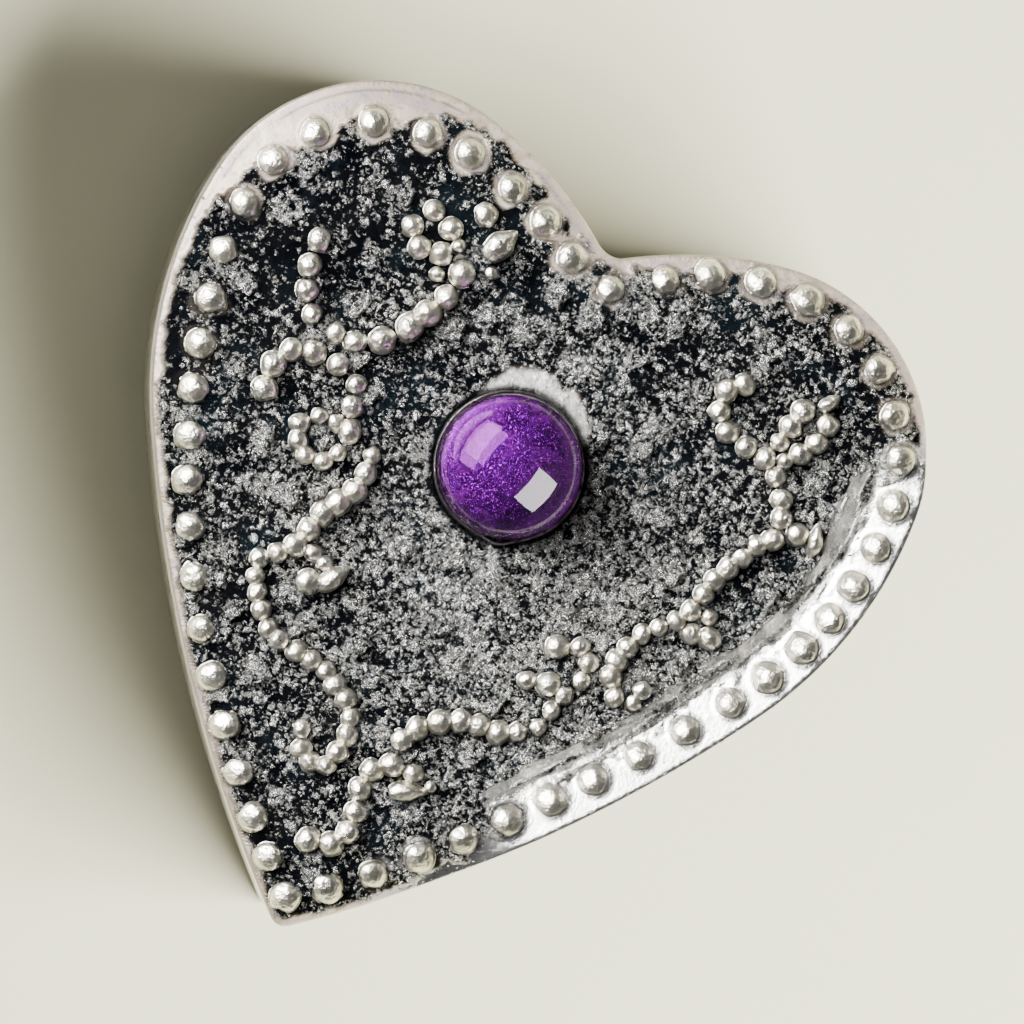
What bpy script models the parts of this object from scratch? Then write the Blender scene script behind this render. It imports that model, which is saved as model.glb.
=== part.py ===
"""Heart-shaped trinket box with a lift-off lid, a beaded border, bead vines and a set stone.

The heart lies flat: +X to its right, the tip towards -Y, the cleft towards +Y, +Z up.
The origin is under the middle of the outline, on the plane that the box stands on.
Dimensions are in millimetres and are turned into metres when the meshes are made.
"""
import math

import bmesh
import bpy
from mathutils import Vector

MM = 0.001

# Half outline of the heart, tip to cleft: tangent arcs of (radius, turn in degrees).
# A negative pair turns the other way, which makes the hollow of the cleft.
OUTLINE_ARCS = ((1.0, 40.2), (100.7, 20.1), (28.4, 36.0), (12.9, 95.5), (28.0, 22.8), (-1.8, -34.6))
ARC_STEPS = 24
HALF_SEGMENTS = 34

# Heights of the base.
FLOOR_THICKNESS = 1.0
SOLDER_GAP = 0.1
WALL_THICKNESS = 1.0
WALL_TOP = 14.5
WALL_INSET = 0.15
COLLAR_INSET = WALL_INSET + WALL_THICKNESS + SOLDER_GAP
COLLAR_THICKNESS = 0.7
COLLAR_TOP = 17.4

# Heights of the lid.
SEAM_GAP = 0.3
SKIRT_THICKNESS = 0.85
SKIRT_BOTTOM = WALL_TOP + SEAM_GAP
PLATE_BOTTOM = 19.5
PLATE_TOP = 21.0
SHOULDER_WIDTH = 4.6
SHOULDER_FALL = 1.15
SHOULDER_CURVE = 1.5
# The places inside the edge that the shoulder is drawn through, from the rim inwards.
SHOULDER_PLACES = (0.45, 1.2, 2.2, 3.3, SHOULDER_WIDTH)
# The lid's rounded rim below the shoulder: (inset, distance down from the shoulder's start).
RIM_CORNERS = ((0.0, 0.27), (0.14, 0.08))
RIM_CHAMFER = 0.15

# Linings.
LINING_INSET = COLLAR_INSET + COLLAR_THICKNESS + SOLDER_GAP
CARD_THICKNESS = 0.5
PAD_THICKNESS = 1.65
LID_PAD_THICKNESS = 1.05
VELVET_THICKNESS = 0.6
VELVET_TOP = 16.9

# Border beads: a row of domes soldered on along the edge of the lid.
BORDER_BEADS_LEFT = 24
BORDER_BEADS_RIGHT = 25
BORDER_RADIUS = 1.05
# How far inside the edge the hand-laid row of beads runs, evenly spaced from tip to cleft.
LEFT_INSETS = (1.4, 1.35, 1.4, 1.5, 1.9, 2.75, 3.25, 2.85, 2.6, 3.1, 2.6, 2.1)
RIGHT_INSETS = (1.85, 2.0, 2.2, 2.15, 2.0, 1.85, 1.75, 1.85, 2.05, 1.65, 1.25, 2.15)
# How far the beads sit from an even spacing along the edge, at the same places.
LEFT_SLIPS = (0.0, -1.5, -2.2, -2.7, -2.9, -4.1, -4.4, -4.4, -3.3, -0.5, 0.6, 0.0)
RIGHT_SLIPS = (0.0, -0.2, -0.5, -0.8, -0.25, -0.55, -1.65, -2.0, -1.4, -0.2, 0.6, 0.0)
# The lengths of edge that the row leaves free at the tip and at the cleft.
LEFT_ENDS = (1.8, 1.3)
RIGHT_ENDS = (3.9, 0.45)

# Bead vines: (right of the axis, above the tip) of the points that each one runs through.
VINES = {
    "vine_upper_left": ((-18.3, 43.1), (-18.1, 40.2), (-16.6, 38.3), (-13.6, 37.9), (-11.2, 39.4),
                        (-9.4, 42.0), (-8.6, 45.0)),
    "vine_left_hook": ((-17.3, 32.4), (-17.4, 34.2), (-16.2, 35.8), (-13.4, 35.9), (-11.6, 35.0),
                       (-11.0, 32.9)),
    "vine_left_stem": ((-8.7, 31.2), (-8.6, 28.8), (-10.0, 26.6), (-10.6, 23.8), (-12.3, 21.9)),
    "vine_left_tail": ((-11.9, 20.2), (-10.2, 18.2), (-7.5, 17.2), (-4.7, 17.0), (-2.2, 15.6),
                       (-1.6, 13.4), (-2.5, 11.4), (-4.6, 11.9)),
    "vine_lower_stem": ((-0.9, 6.2), (1.0, 7.1), (1.1, 9.4), (0.7, 11.7), (2.0, 13.2)),
    "vine_lower_branch": ((1.9, 15.2), (4.0, 17.6), (7.0, 18.5), (9.1, 19.3), (10.2, 21.6),
                          (11.1, 24.2), (9.9, 26.1), (8.4, 25.5)),
    "vine_right_hook": ((11.9, 47.3), (11.0, 46.0), (12.3, 43.9), (15.6, 43.1), (17.4, 41.1),
                        (18.4, 39.0)),
    "vine_right_tail": ((17.5, 37.3), (16.2, 34.6), (15.4, 31.3), (13.3, 28.8), (12.5, 26.2),
                        (13.3, 24.1), (15.1, 25.1)),
}
VINE_RADIUS = 0.74
# Leaf clusters: short rows of the same beads beside the vines.
LEAVES = {
    "leaf_upper_left_curl": ((-12.2, 48.2), (-13.2, 46.8), (-12.0, 45.7), (-10.6, 46.2)),
    "leaf_upper_left": ((-9.1, 49.5), (-7.4, 48.3), (-6.9, 46.6)),
    "leaf_left_curl": ((-12.6, 32.2), (-13.9, 31.2), (-13.0, 29.9), (-11.4, 29.9)),
    "leaf_left": ((-9.1, 23.7), (-7.7, 23.2), (-7.9, 21.6)),
    "leaf_lower_tip": ((3.5, 13.2), (3.6, 11.9), (5.0, 12.3)),
    "leaf_lower_inner": ((9.0, 22.9), (7.5, 22.5)),
    "leaf_right": ((15.9, 44.9), (16.1, 46.8), (17.7, 47.7), (18.3, 46.2)),
    "leaf_right_bud": ((20.2, 39.5), (21.4, 39.9)),
    "leaf_right_low": ((17.1, 31.9), (17.5, 30.5)),
}
LEAF_RADIUS = 0.66
BEAD_SPACING = 1.85

# Section of a dome on a beaded wire: (distance from its centre, reach), as shares of its radius.
DOME_END = (0.95, 0.3)
DOME_SIDE = (0.65, 0.76)
# Radius of the wire between two domes, as a share of theirs.
BORDER_NECK = 0.32
VINE_NECK = 0.6

# The set stone: a domed round stone over foil, in a thin bezel.
GEM_ABOVE_TIP = 35.0
GEM_RADIUS = 5.0
GEM_GIRDLE = 0.5
GEM_DOME = 2.8
BEZEL_CLEARANCE = 0.1
BEZEL_THICKNESS = 0.3
BEZEL_HEIGHT = 0.9
BEZEL_SEAT = 0.25
BEZEL_SEAT_RADIUS = 4.3
FOIL_THICKNESS = 0.15
ROUND_SEGMENTS = 40
DOME_RINGS = 6

# Finishes: base colour, metallic, roughness.
BRIGHT_SILVER = ((0.72, 0.70, 0.66), 1.0, 0.32)
BRUSHED_SILVER = ((0.62, 0.60, 0.56), 1.0, 0.42)
DARK_SILVER = ((0.16, 0.16, 0.17), 1.0, 0.50)
VIOLET_GLASS = ((0.22, 0.03, 0.42), 0.0, 0.05)
VIOLET_FOIL = ((0.45, 0.16, 0.70), 1.0, 0.20)
PLUM_VELVET = ((0.10, 0.02, 0.12), 0.0, 0.95)
GREY_CARD = ((0.30, 0.29, 0.27), 0.0, 0.90)


def clear_scene():
    for obj in list(bpy.data.objects):
        bpy.data.objects.remove(obj, do_unlink=True)


def material(name, finish):
    colour, metallic, roughness = finish
    result = bpy.data.materials.new(name)
    result.use_nodes = True
    shader = result.node_tree.nodes["Principled BSDF"]
    shader.inputs["Base Color"].default_value = (*colour, 1.0)
    shader.inputs["Metallic"].default_value = metallic
    shader.inputs["Roughness"].default_value = roughness
    return result


def add_object(name, points, faces, finish, location=(0.0, 0.0, 0.0)):
    """Make one closed object from points in millimetres around its own origin."""
    mesh = bpy.data.meshes.new(name)
    build = bmesh.new()
    verts = [build.verts.new(Vector(point) * MM) for point in points]
    for face in faces:
        build.faces.new([verts[index] for index in face])
    bmesh.ops.recalc_face_normals(build, faces=build.faces)
    build.to_mesh(mesh)
    build.free()
    mesh.shade_smooth()
    mesh.set_sharp_from_angle(angle=math.radians(35.0))
    obj = bpy.data.objects.new(name, mesh)
    obj.location = Vector(location) * MM
    mesh.materials.append(material(name + "_finish", finish))
    bpy.context.scene.collection.objects.link(obj)
    return obj


def outline_half():
    """Points and inward directions of the right half, tip to cleft."""
    x, y, heading = 0.0, 0.0, 0.0
    rows = [(x, y, 0.0, 1.0)]
    for radius, degrees in OUTLINE_ARCS:
        turn = math.radians(degrees)
        centre_x = x - radius * math.sin(heading)
        centre_y = y + radius * math.cos(heading)
        for step in range(1, ARC_STEPS + 1):
            angle = heading + turn * step / ARC_STEPS
            x = centre_x + radius * math.sin(angle)
            y = centre_y - radius * math.cos(angle)
            rows.append((x, y, -math.sin(angle), math.cos(angle)))
        heading += turn
    # The arcs close on the axis to within a hair, which is shared out along the outline.
    slip = x / (len(rows) - 1)
    return [(row[0] - slip * index, row[1], row[2], row[3]) for index, row in enumerate(rows)]


OUTLINE = outline_half()
HEART_LENGTH = max(row[1] for row in OUTLINE)
MIDDLE = HEART_LENGTH / 2.0


def half_loop(inset, segments=HALF_SEGMENTS):
    """The right half of the outline moved inwards by inset, evenly spaced, tip to cleft."""
    moved = [(x + inset * nx, y - MIDDLE + inset * ny) for x, y, nx, ny in OUTLINE]
    path = []
    for before, after in zip(moved, moved[1:]):
        if before[0] <= 0.0 < after[0]:
            share = before[0] / (before[0] - after[0])
            path = [(0.0, before[1] + share * (after[1] - before[1]))]
        if after[0] > 0.0 and path:
            path.append(after)
    path.append((0.0, moved[-1][1]))
    return resample(path, segments)


def running_lengths(path):
    """The length of a path up to each of its points."""
    lengths = [0.0]
    for before, after in zip(path, path[1:]):
        lengths.append(lengths[-1] + math.dist(before, after))
    return lengths


def resample(path, segments):
    """The same path with its points evenly spaced."""
    lengths = running_lengths(path)
    return [point_at(path, lengths, lengths[-1] * step / segments) for step in range(segments + 1)]


def point_at(path, lengths, distance):
    """The point at a distance along a path."""
    index = 1
    while index < len(path) - 1 and lengths[index] < distance:
        index += 1
    span = lengths[index] - lengths[index - 1]
    share = (distance - lengths[index - 1]) / span
    before, after = path[index - 1], path[index]
    return tuple(a + (b - a) * share for a, b in zip(before, after))


def full_loop(inset):
    """The whole outline moved inwards by inset, counter-clockwise from the tip."""
    right = half_loop(inset)
    left = [(-x, y) for x, y in reversed(right[1:-1])]
    return right + left


def plate(name, profile, finish):
    """A heart-shaped body through (inset, height) levels, from the underside to the top."""
    loops = [[(x, y, height) for x, y in full_loop(inset)] for inset, height in profile]
    count = len(loops[0])
    points = [point for loop in loops for point in loop]
    faces = [list(reversed(range(count)))]
    for level in range(len(loops) - 1):
        low, high = level * count, (level + 1) * count
        for step in range(count):
            after = (step + 1) % count
            faces.append([low + step, low + after, high + after, high + step])
    faces.append([(len(loops) - 1) * count + step for step in range(count)])
    return add_object(name, points, faces, finish)


def half_wall(name, side, outer_inset, inner_inset, bottom, top, finish):
    """One upright strip from tip to cleft, which meets its twin at a hair's gap on the axis."""
    points = []
    for outer, inner in zip(half_loop(outer_inset), half_loop(inner_inset)):
        for (x, y), height in ((outer, bottom), (outer, top), (inner, top), (inner, bottom)):
            points.append((side * max(x, SOLDER_GAP / 2.0), y, height))
    faces = [[0, 1, 2, 3]]
    for start in range(0, len(points) - 4, 4):
        for corner in range(4):
            after = (corner + 1) % 4
            faces.append([start + corner, start + after, start + 4 + after, start + 4 + corner])
    faces.append([len(points) - 1 - corner for corner in range(4)])
    return add_object(name, points, faces, finish)


def wall_pair(name, outer_inset, thickness, bottom, top, finish):
    for suffix, side in (("left", -1.0), ("right", 1.0)):
        half_wall(f"{name}_{suffix}", side, outer_inset, outer_inset + thickness, bottom, top, finish)


def turned(name, profile, finish, location):
    """A round body: (radius, height) points, where a radius of 0 closes it on its axis."""
    points = []
    rings = []
    for radius, height in profile:
        if radius == 0.0:
            rings.append([len(points)] * ROUND_SEGMENTS)
            points.append((0.0, 0.0, height))
            continue
        rings.append(list(range(len(points), len(points) + ROUND_SEGMENTS)))
        for step in range(ROUND_SEGMENTS):
            angle = 2.0 * math.pi * step / ROUND_SEGMENTS
            points.append((radius * math.cos(angle), radius * math.sin(angle), height))
    if profile[0][0] != 0.0:
        rings.append(rings[0])
    faces = []
    for low, high in zip(rings, rings[1:]):
        for step in range(ROUND_SEGMENTS):
            after = (step + 1) % ROUND_SEGMENTS
            corners = (low[step], low[after], high[after], high[step])
            faces.append(list(dict.fromkeys(corners)))
    return add_object(name, points, faces, finish, location)


def shoulder_height(inset):
    """Height of the lid's top at a distance from its edge, where it falls away in a curve."""
    share = max(0.0, 1.0 - inset / SHOULDER_WIDTH)
    return PLATE_TOP - SHOULDER_FALL * share ** SHOULDER_CURVE


def shoulder_slope(inset):
    share = max(0.0, 1.0 - inset / SHOULDER_WIDTH)
    return SHOULDER_CURVE * SHOULDER_FALL * share ** (SHOULDER_CURVE - 1.0) / SHOULDER_WIDTH


def smooth_path(knots, steps=10):
    """A Catmull-Rom curve through the knots."""
    first = [2.0 * a - b for a, b in zip(knots[0], knots[1])]
    last = [2.0 * a - b for a, b in zip(knots[-1], knots[-2])]
    padded = [first, *knots, last]
    path = [tuple(knots[0])]
    for index in range(1, len(padded) - 2):
        p0, p1, p2, p3 = padded[index - 1:index + 3]
        for step in range(1, steps + 1):
            t = step / steps
            path.append(tuple(0.5 * (2.0 * b + (c - a) * t + (2.0 * a - 5.0 * b + 4.0 * c - d) * t * t
                                     + (3.0 * b - a - 3.0 * c + d) * t ** 3)
                              for a, b, c, d in zip(p0, p1, p2, p3)))
    return path


def beaded_wire(name, path, lift, tilt, centres, radius, neck, finish):
    """A half-round wire that swells into a dome at each centre along its path.

    lift and tilt give the height under the wire and its lean towards the lid's edge at a
    distance along the path. neck is the wire's radius between two domes.
    """
    lengths = running_lengths(path)
    end, end_reach = (share * radius for share in DOME_END)
    side, side_reach = (share * radius for share in DOME_SIDE)
    stations = [(centres[0] - end, end_reach)]
    for index, centre in enumerate(centres):
        stations.append((centre - side, side_reach))
        stations.append((centre, radius))
        stations.append((centre + side, side_reach))
        if index < len(centres) - 1:
            stations.append(((centre + centres[index + 1]) / 2.0, neck))
    stations.append((centres[-1] + end, end_reach))
    points = []
    for distance, reach in stations:
        x, y = point_at(path, lengths, distance)
        x1, y1 = point_at(path, lengths, distance - 0.2)
        x2, y2 = point_at(path, lengths, distance + 0.2)
        along = Vector((x2 - x1, y2 - y1, 0.0)).normalized()
        across = Vector((along.y, -along.x, 0.0))
        up = (Vector((0.0, 0.0, 1.0)) + across * tilt(distance)).normalized()
        across = along.cross(up).normalized()
        foot = Vector((x, y, lift(distance)))
        for step in range(5):
            angle = math.pi * step / 4.0
            points.append(foot + across * (reach * math.cos(angle)) + up * (reach * math.sin(angle)))
    faces = [[4, 3, 2, 1, 0]]
    for start in range(0, len(points) - 5, 5):
        for corner in range(5):
            after = (corner + 1) % 5
            faces.append([start + corner, start + after, start + 5 + after, start + 5 + corner])
    faces.append([len(points) - 5 + corner for corner in range(5)])
    return add_object(name, points, faces, finish)


def even_value(values, share):
    """A value from an evenly spaced list, with straight lines between its entries."""
    place = min(max(share, 0.0), 1.0) * (len(values) - 1)
    index = min(int(place), len(values) - 2)
    return values[index] + (values[index + 1] - values[index]) * (place - index)


def beyond(before, after, reach):
    """The point that lies past after, on the line from before, by reach."""
    share = 1.0 + reach / math.dist(before, after)
    return tuple(a + (b - a) * share for a, b in zip(before, after))


def border_row(name, side, insets, slips, count, ends):
    """One half of the bead border, which starts near the tip and ends near the cleft."""
    edge_lengths = running_lengths([(x, y) for x, y, nx, ny in OUTLINE])
    steps = 4 * (count - 1)
    path = []
    depths = []
    for step in range(steps + 1):
        share = step / steps
        even = ends[0] + share * (edge_lengths[-1] - ends[0] - ends[1])
        x, y, nx, ny = point_at(OUTLINE, edge_lengths, even + even_value(slips, share))
        depth = even_value(insets, share)
        path.append((side * (x + depth * nx), y - MIDDLE + depth * ny))
        depths.append((depth,))
    path.insert(0, beyond(path[1], path[0], 1.5 * BORDER_RADIUS))
    path.append(beyond(path[-2], path[-1], 1.5 * BORDER_RADIUS))
    depths = [depths[0], *depths, depths[-1]]
    lengths = running_lengths(path)
    centres = lengths[1:-1:4]

    def inset(distance):
        return point_at(depths, lengths, distance)[0]

    def lift(distance):
        return shoulder_height(inset(distance)) + SOLDER_GAP

    def tilt(distance):
        return side * shoulder_slope(inset(distance))

    beaded_wire(name, path, lift, tilt, centres, BORDER_RADIUS, BORDER_NECK * BORDER_RADIUS, BRIGHT_SILVER)


def bead_vine(name, knots, radius):
    """A row of touching beads on the flat of the lid, through the knots."""
    path = smooth_path([(x, y - MIDDLE) for x, y in knots])
    length = running_lengths(path)[-1]
    count = max(2, round(length / (BEAD_SPACING * radius)) + 1)
    pitch = length / (count - 1)
    centres = [pitch * index for index in range(count)]

    def lift(distance):
        return PLATE_TOP + SOLDER_GAP

    def tilt(distance):
        return 0.0

    beaded_wire(name, path, lift, tilt, centres, radius, VINE_NECK * radius, BRIGHT_SILVER)


def base_box():
    """The metal of the base: floor, outer walls and the locating collar inside them."""
    plate("base_floor_plate", ((WALL_INSET, 0.0), (WALL_INSET, FLOOR_THICKNESS)), BRUSHED_SILVER)
    above_floor = FLOOR_THICKNESS + SOLDER_GAP
    wall_pair("base_wall", WALL_INSET, WALL_THICKNESS, above_floor, WALL_TOP, BRUSHED_SILVER)
    wall_pair("base_collar", COLLAR_INSET, COLLAR_THICKNESS, above_floor, COLLAR_TOP, BRIGHT_SILVER)


def base_lining():
    """Card and velvet pad on the floor, velvet on the collar."""
    card_bottom = FLOOR_THICKNESS + SOLDER_GAP
    card_top = card_bottom + CARD_THICKNESS
    plate("base_lining_card", ((LINING_INSET, card_bottom), (LINING_INSET, card_top)), GREY_CARD)
    pad_bottom = card_top + SOLDER_GAP
    pad_top = pad_bottom + PAD_THICKNESS
    round_edge = 0.4
    pad = ((LINING_INSET, pad_bottom), (LINING_INSET, pad_top - round_edge),
           (LINING_INSET + round_edge, pad_top))
    plate("base_velvet_pad", pad, PLUM_VELVET)
    wall_pair("base_velvet_wall", LINING_INSET, VELVET_THICKNESS, pad_top + SOLDER_GAP, VELVET_TOP,
              PLUM_VELVET)


def lid_shell():
    """The top plate with its rounded shoulder, and the skirt that slips over the collar."""
    shoulder = [(inset, shoulder_height(inset)) for inset in SHOULDER_PLACES]
    foot = [(RIM_CHAMFER, PLATE_BOTTOM), (0.0, PLATE_BOTTOM + RIM_CHAMFER)]
    rim = [(inset, shoulder[0][1] - drop) for inset, drop in RIM_CORNERS]
    plate("lid_plate", foot + rim + shoulder, DARK_SILVER)
    wall_pair("lid_skirt", 0.0, SKIRT_THICKNESS, SKIRT_BOTTOM, PLATE_BOTTOM - SOLDER_GAP, BRUSHED_SILVER)


def lid_lining():
    """Card and a thin velvet pad under the lid's top plate."""
    inset = SKIRT_THICKNESS + 2.0 * SOLDER_GAP
    card_top = PLATE_BOTTOM - SOLDER_GAP
    card_bottom = card_top - CARD_THICKNESS
    plate("lid_lining_card", ((inset, card_bottom), (inset, card_top)), GREY_CARD)
    pad_top = card_bottom - SOLDER_GAP
    pad_bottom = pad_top - LID_PAD_THICKNESS
    round_edge = 0.35
    pad = ((inset + round_edge, pad_bottom), (inset, pad_bottom + round_edge), (inset, pad_top))
    plate("lid_velvet_pad", pad, PLUM_VELVET)


def set_stone():
    """Bezel with a seat, foil on the seat, and the domed stone on the foil."""
    place = (0.0, GEM_ABOVE_TIP - MIDDLE, PLATE_TOP + SOLDER_GAP)
    inner = GEM_RADIUS + BEZEL_CLEARANCE
    outer = inner + BEZEL_THICKNESS
    bezel = ((BEZEL_SEAT_RADIUS, 0.0), (outer, 0.0), (outer, BEZEL_HEIGHT - 0.2),
             (outer - 0.12, BEZEL_HEIGHT), (inner, BEZEL_HEIGHT), (inner, BEZEL_SEAT),
             (BEZEL_SEAT_RADIUS, BEZEL_SEAT))
    turned("gem_bezel", bezel, BRIGHT_SILVER, place)
    foil_bottom = BEZEL_SEAT + SOLDER_GAP
    foil_top = foil_bottom + FOIL_THICKNESS
    foil = ((0.0, foil_bottom), (GEM_RADIUS, foil_bottom), (GEM_RADIUS, foil_top), (0.0, foil_top))
    turned("gem_foil", foil, VIOLET_FOIL, place)
    stone_bottom = foil_top + SOLDER_GAP
    stone = [(0.0, stone_bottom), (GEM_RADIUS, stone_bottom)]
    for ring in range(DOME_RINGS):
        angle = 0.5 * math.pi * ring / DOME_RINGS
        height = stone_bottom + GEM_GIRDLE + GEM_DOME * math.sin(angle)
        stone.append((GEM_RADIUS * math.cos(angle), height))
    stone.append((0.0, stone_bottom + GEM_GIRDLE + GEM_DOME))
    turned("gem_cabochon", stone, VIOLET_GLASS, place)


def lid_ornament():
    """The bead border, the bead vines and their leaf clusters."""
    border_row("border_beads_left", -1.0, LEFT_INSETS, LEFT_SLIPS, BORDER_BEADS_LEFT, LEFT_ENDS)
    border_row("border_beads_right", 1.0, RIGHT_INSETS, RIGHT_SLIPS, BORDER_BEADS_RIGHT, RIGHT_ENDS)
    for name, knots in VINES.items():
        bead_vine(name, knots, VINE_RADIUS)
    for name, knots in LEAVES.items():
        bead_vine(name, knots, LEAF_RADIUS)


clear_scene()
base_box()
base_lining()
lid_shell()
lid_lining()
set_stone()
lid_ornament()
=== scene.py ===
"""Looks of the heart-shaped trinket box: the skin of the lid, its beads, the stone, walls and lining."""
import math

import bpy
import numpy as np
from mathutils import Matrix, Vector


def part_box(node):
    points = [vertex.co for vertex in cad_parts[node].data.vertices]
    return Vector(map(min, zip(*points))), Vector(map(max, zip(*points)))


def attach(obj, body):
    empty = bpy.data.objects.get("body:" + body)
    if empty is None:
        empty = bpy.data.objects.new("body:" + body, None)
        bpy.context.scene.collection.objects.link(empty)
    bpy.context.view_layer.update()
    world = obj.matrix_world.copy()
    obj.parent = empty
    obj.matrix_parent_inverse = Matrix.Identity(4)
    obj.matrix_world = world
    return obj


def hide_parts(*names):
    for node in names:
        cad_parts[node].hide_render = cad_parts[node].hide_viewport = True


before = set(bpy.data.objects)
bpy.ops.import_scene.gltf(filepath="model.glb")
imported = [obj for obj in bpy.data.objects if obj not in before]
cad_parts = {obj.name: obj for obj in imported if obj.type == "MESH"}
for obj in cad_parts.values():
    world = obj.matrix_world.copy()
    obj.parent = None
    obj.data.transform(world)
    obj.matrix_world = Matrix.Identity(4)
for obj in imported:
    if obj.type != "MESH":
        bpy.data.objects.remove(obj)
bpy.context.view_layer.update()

MM = 0.001

# ---------------------------------------------------------------------------------------------
# Sizes, in millimetres, in the heart's own axes: u to the right of its axis, v above its tip.
# A share of the outline runs from 0 at the tip, up the left side to the cleft at 0.5, to 1.
# ---------------------------------------------------------------------------------------------
# The same tangent arcs as the CAD outline: (radius, turn in degrees), tip to cleft.
OUTLINE_ARCS = ((1.0, 40.2), (100.7, 20.1), (28.4, 36.0), (12.9, 95.5), (28.0, 22.8), (-1.8, -34.6))
ARC_STEPS = 40
# Steps along half the outline of the lid's edge, a wall and a pad, and of a vine between two points.
EDGE_STEPS = 220
WALL_STEPS = 150
PAD_STEPS = 110
CURVE_STEPS = 16

# About the length of the whole outline.
OUTLINE_LENGTH = 168.0

SHOULDER_WIDTH = 4.6
SHOULDER_FALL = 1.15
SHOULDER_CURVE = 1.5
SKIN_PITCH = 0.16
EDGE_ROUND = 0.22
# How the skin's edge rolls over: (share of the rounding left, drop).
EDGE_DROPS = ((0.62, -0.05), (0.30, -0.15), (0.08, -0.30), (0.0, -0.48))
# Where it ends, on the skirt: (inset, height over the skirt's top).
SKIN_FOOT = ((0.0, 0.05), (0.3, 0.03))
# What the material reads on the rolled edge.
RIM_ATTRIBUTES = {"smooth": 1.0, "wear": 0.5, "painted_shade": 0.0, "stain": 0.3}

BORDER_RADIUS = 1.08
LEFT_BEADS = 24
RIGHT_BEADS = 25
# How far inside the edge the hand-laid row of beads runs, evenly spaced from tip to cleft.
LEFT_INSETS = (1.4, 1.35, 1.35, 1.4, 1.75, 2.6, 3.1, 2.7, 2.55, 3.05, 2.6, 2.1)
RIGHT_INSETS = (1.85, 2.0, 2.2, 2.15, 2.0, 1.85, 1.75, 1.85, 2.05, 1.65, 1.25, 2.15)
# How far the beads sit from an even spacing along the edge, at the same places.
LEFT_SLIP = (0.0, -1.5, -2.2, -2.75, -3.0, -4.2, -4.55, -4.55, -3.45, -0.5, 0.6, 0.0)
RIGHT_SLIP = (0.0, -0.2, -0.5, -0.8, -0.25, -0.55, -1.65, -2.0, -1.4, -0.2, 0.6, 0.0)
# The gaps that the row leaves at the tip and at the cleft, along the edge.
LEFT_ENDS = (1.8, 1.3)
RIGHT_ENDS = (3.9, 0.45)

# The smooth, worn band inside the lid's edge: (share of the outline, width).
SMOOTH_BAND = ((0.0, 0.5), (0.1, 0.45), (0.25, 0.5), (0.29, 0.9), (0.32, 2.2), (0.345, 2.9),
               (0.385, 2.9), (0.41, 1.7), (0.44, 1.2), (0.47, 1.0), (0.5, 0.9), (0.56, 1.1),
               (0.6, 1.0), (0.63, 0.7), (0.665, 0.5), (0.675, 1.6), (0.69, 3.0), (0.72, 3.4),
               (0.8, 3.6), (0.85, 3.3), (0.885, 2.6), (0.91, 1.7), (0.93, 1.0), (0.95, 0.6), (1.0, 0.5))

# Bead vines: the number of beads, and the points that the row runs through with the radius there.
VINES = {
    "vine_upper_left": (11, (
        (-18.3, 43.1, 0.80), (-18.3, 41.3, 0.82), (-17.2, 38.8, 0.80), (-15.2, 37.9, 0.72),
        (-13.3, 37.9, 0.84), (-11.9, 38.6, 0.86), (-10.6, 39.9, 1.0), (-9.5, 41.8, 0.92),
        (-8.9, 43.3, 0.86), (-8.6, 45.4, 0.98))),
    "vine_left_hook": (8, (
        (-17.3, 32.3, 0.92), (-17.5, 34.2, 0.90), (-16.7, 35.6, 0.88), (-15.0, 36.0, 0.86),
        (-13.3, 36.0, 0.84), (-11.8, 35.4, 0.74), (-11.3, 33.8, 0.82), (-10.7, 32.2, 0.78))),
    "vine_left_stem": (9, (
        (-8.7, 31.5, 0.60), (-8.6, 28.9, 0.86), (-10.0, 26.4, 0.90), (-10.7, 23.6, 0.76),
        (-12.4, 21.8, 0.70))),
    "vine_left_tail": (17, (
        (-12.2, 20.7, 0.68), (-10.7, 18.8, 0.72), (-9.0, 17.5, 0.74), (-5.7, 17.1, 0.72),
        (-3.4, 16.2, 0.76), (-1.9, 14.8, 0.74), (-1.7, 12.3, 0.76), (-2.5, 10.9, 0.72),
        (-3.9, 11.3, 0.70), (-4.7, 12.7, 0.68))),
    "vine_lower_stem": (7, (
        (-1.0, 6.2, 0.86), (1.0, 6.9, 0.92), (1.35, 8.5, 0.80), (0.8, 10.6, 0.78),
        (0.9, 12.2, 0.80), (2.0, 13.3, 0.88))),
    "vine_lower_branch": (14, (
        (1.8, 15.1, 0.80), (2.8, 16.7, 0.86), (4.8, 18.0, 0.86), (8.1, 18.7, 0.76),
        (9.7, 20.0, 0.66), (10.3, 22.3, 0.70), (11.1, 24.6, 0.72), (10.2, 26.1, 0.66),
        (8.5, 25.5, 0.84))),
    "vine_right_hook": (10, (
        (12.0, 47.3, 0.78), (11.1, 46.4, 0.82), (11.3, 44.7, 0.80), (12.4, 43.8, 0.80),
        (14.2, 43.3, 0.80), (15.8, 43.1, 0.76), (17.3, 41.8, 0.78), (18.4, 40.2, 0.80),
        (18.4, 38.6, 0.80))),
    "vine_right_tail": (15, (
        (17.7, 37.7, 0.74), (16.4, 35.1, 0.80), (15.7, 32.6, 0.76), (15.2, 30.9, 0.72),
        (13.4, 28.9, 0.72), (12.5, 26.6, 0.84), (12.9, 24.9, 0.76), (13.9, 24.0, 0.68),
        (14.8, 24.4, 0.64), (15.0, 25.5, 0.74))),
    "leaf_left_curl": (7, (
        (-11.9, 32.4, 0.60), (-13.2, 32.2, 0.66), (-14.1, 31.0, 0.76), (-13.0, 29.7, 0.72),
        (-11.5, 29.6, 0.70), (-10.8, 30.6, 0.62))),
}
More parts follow.
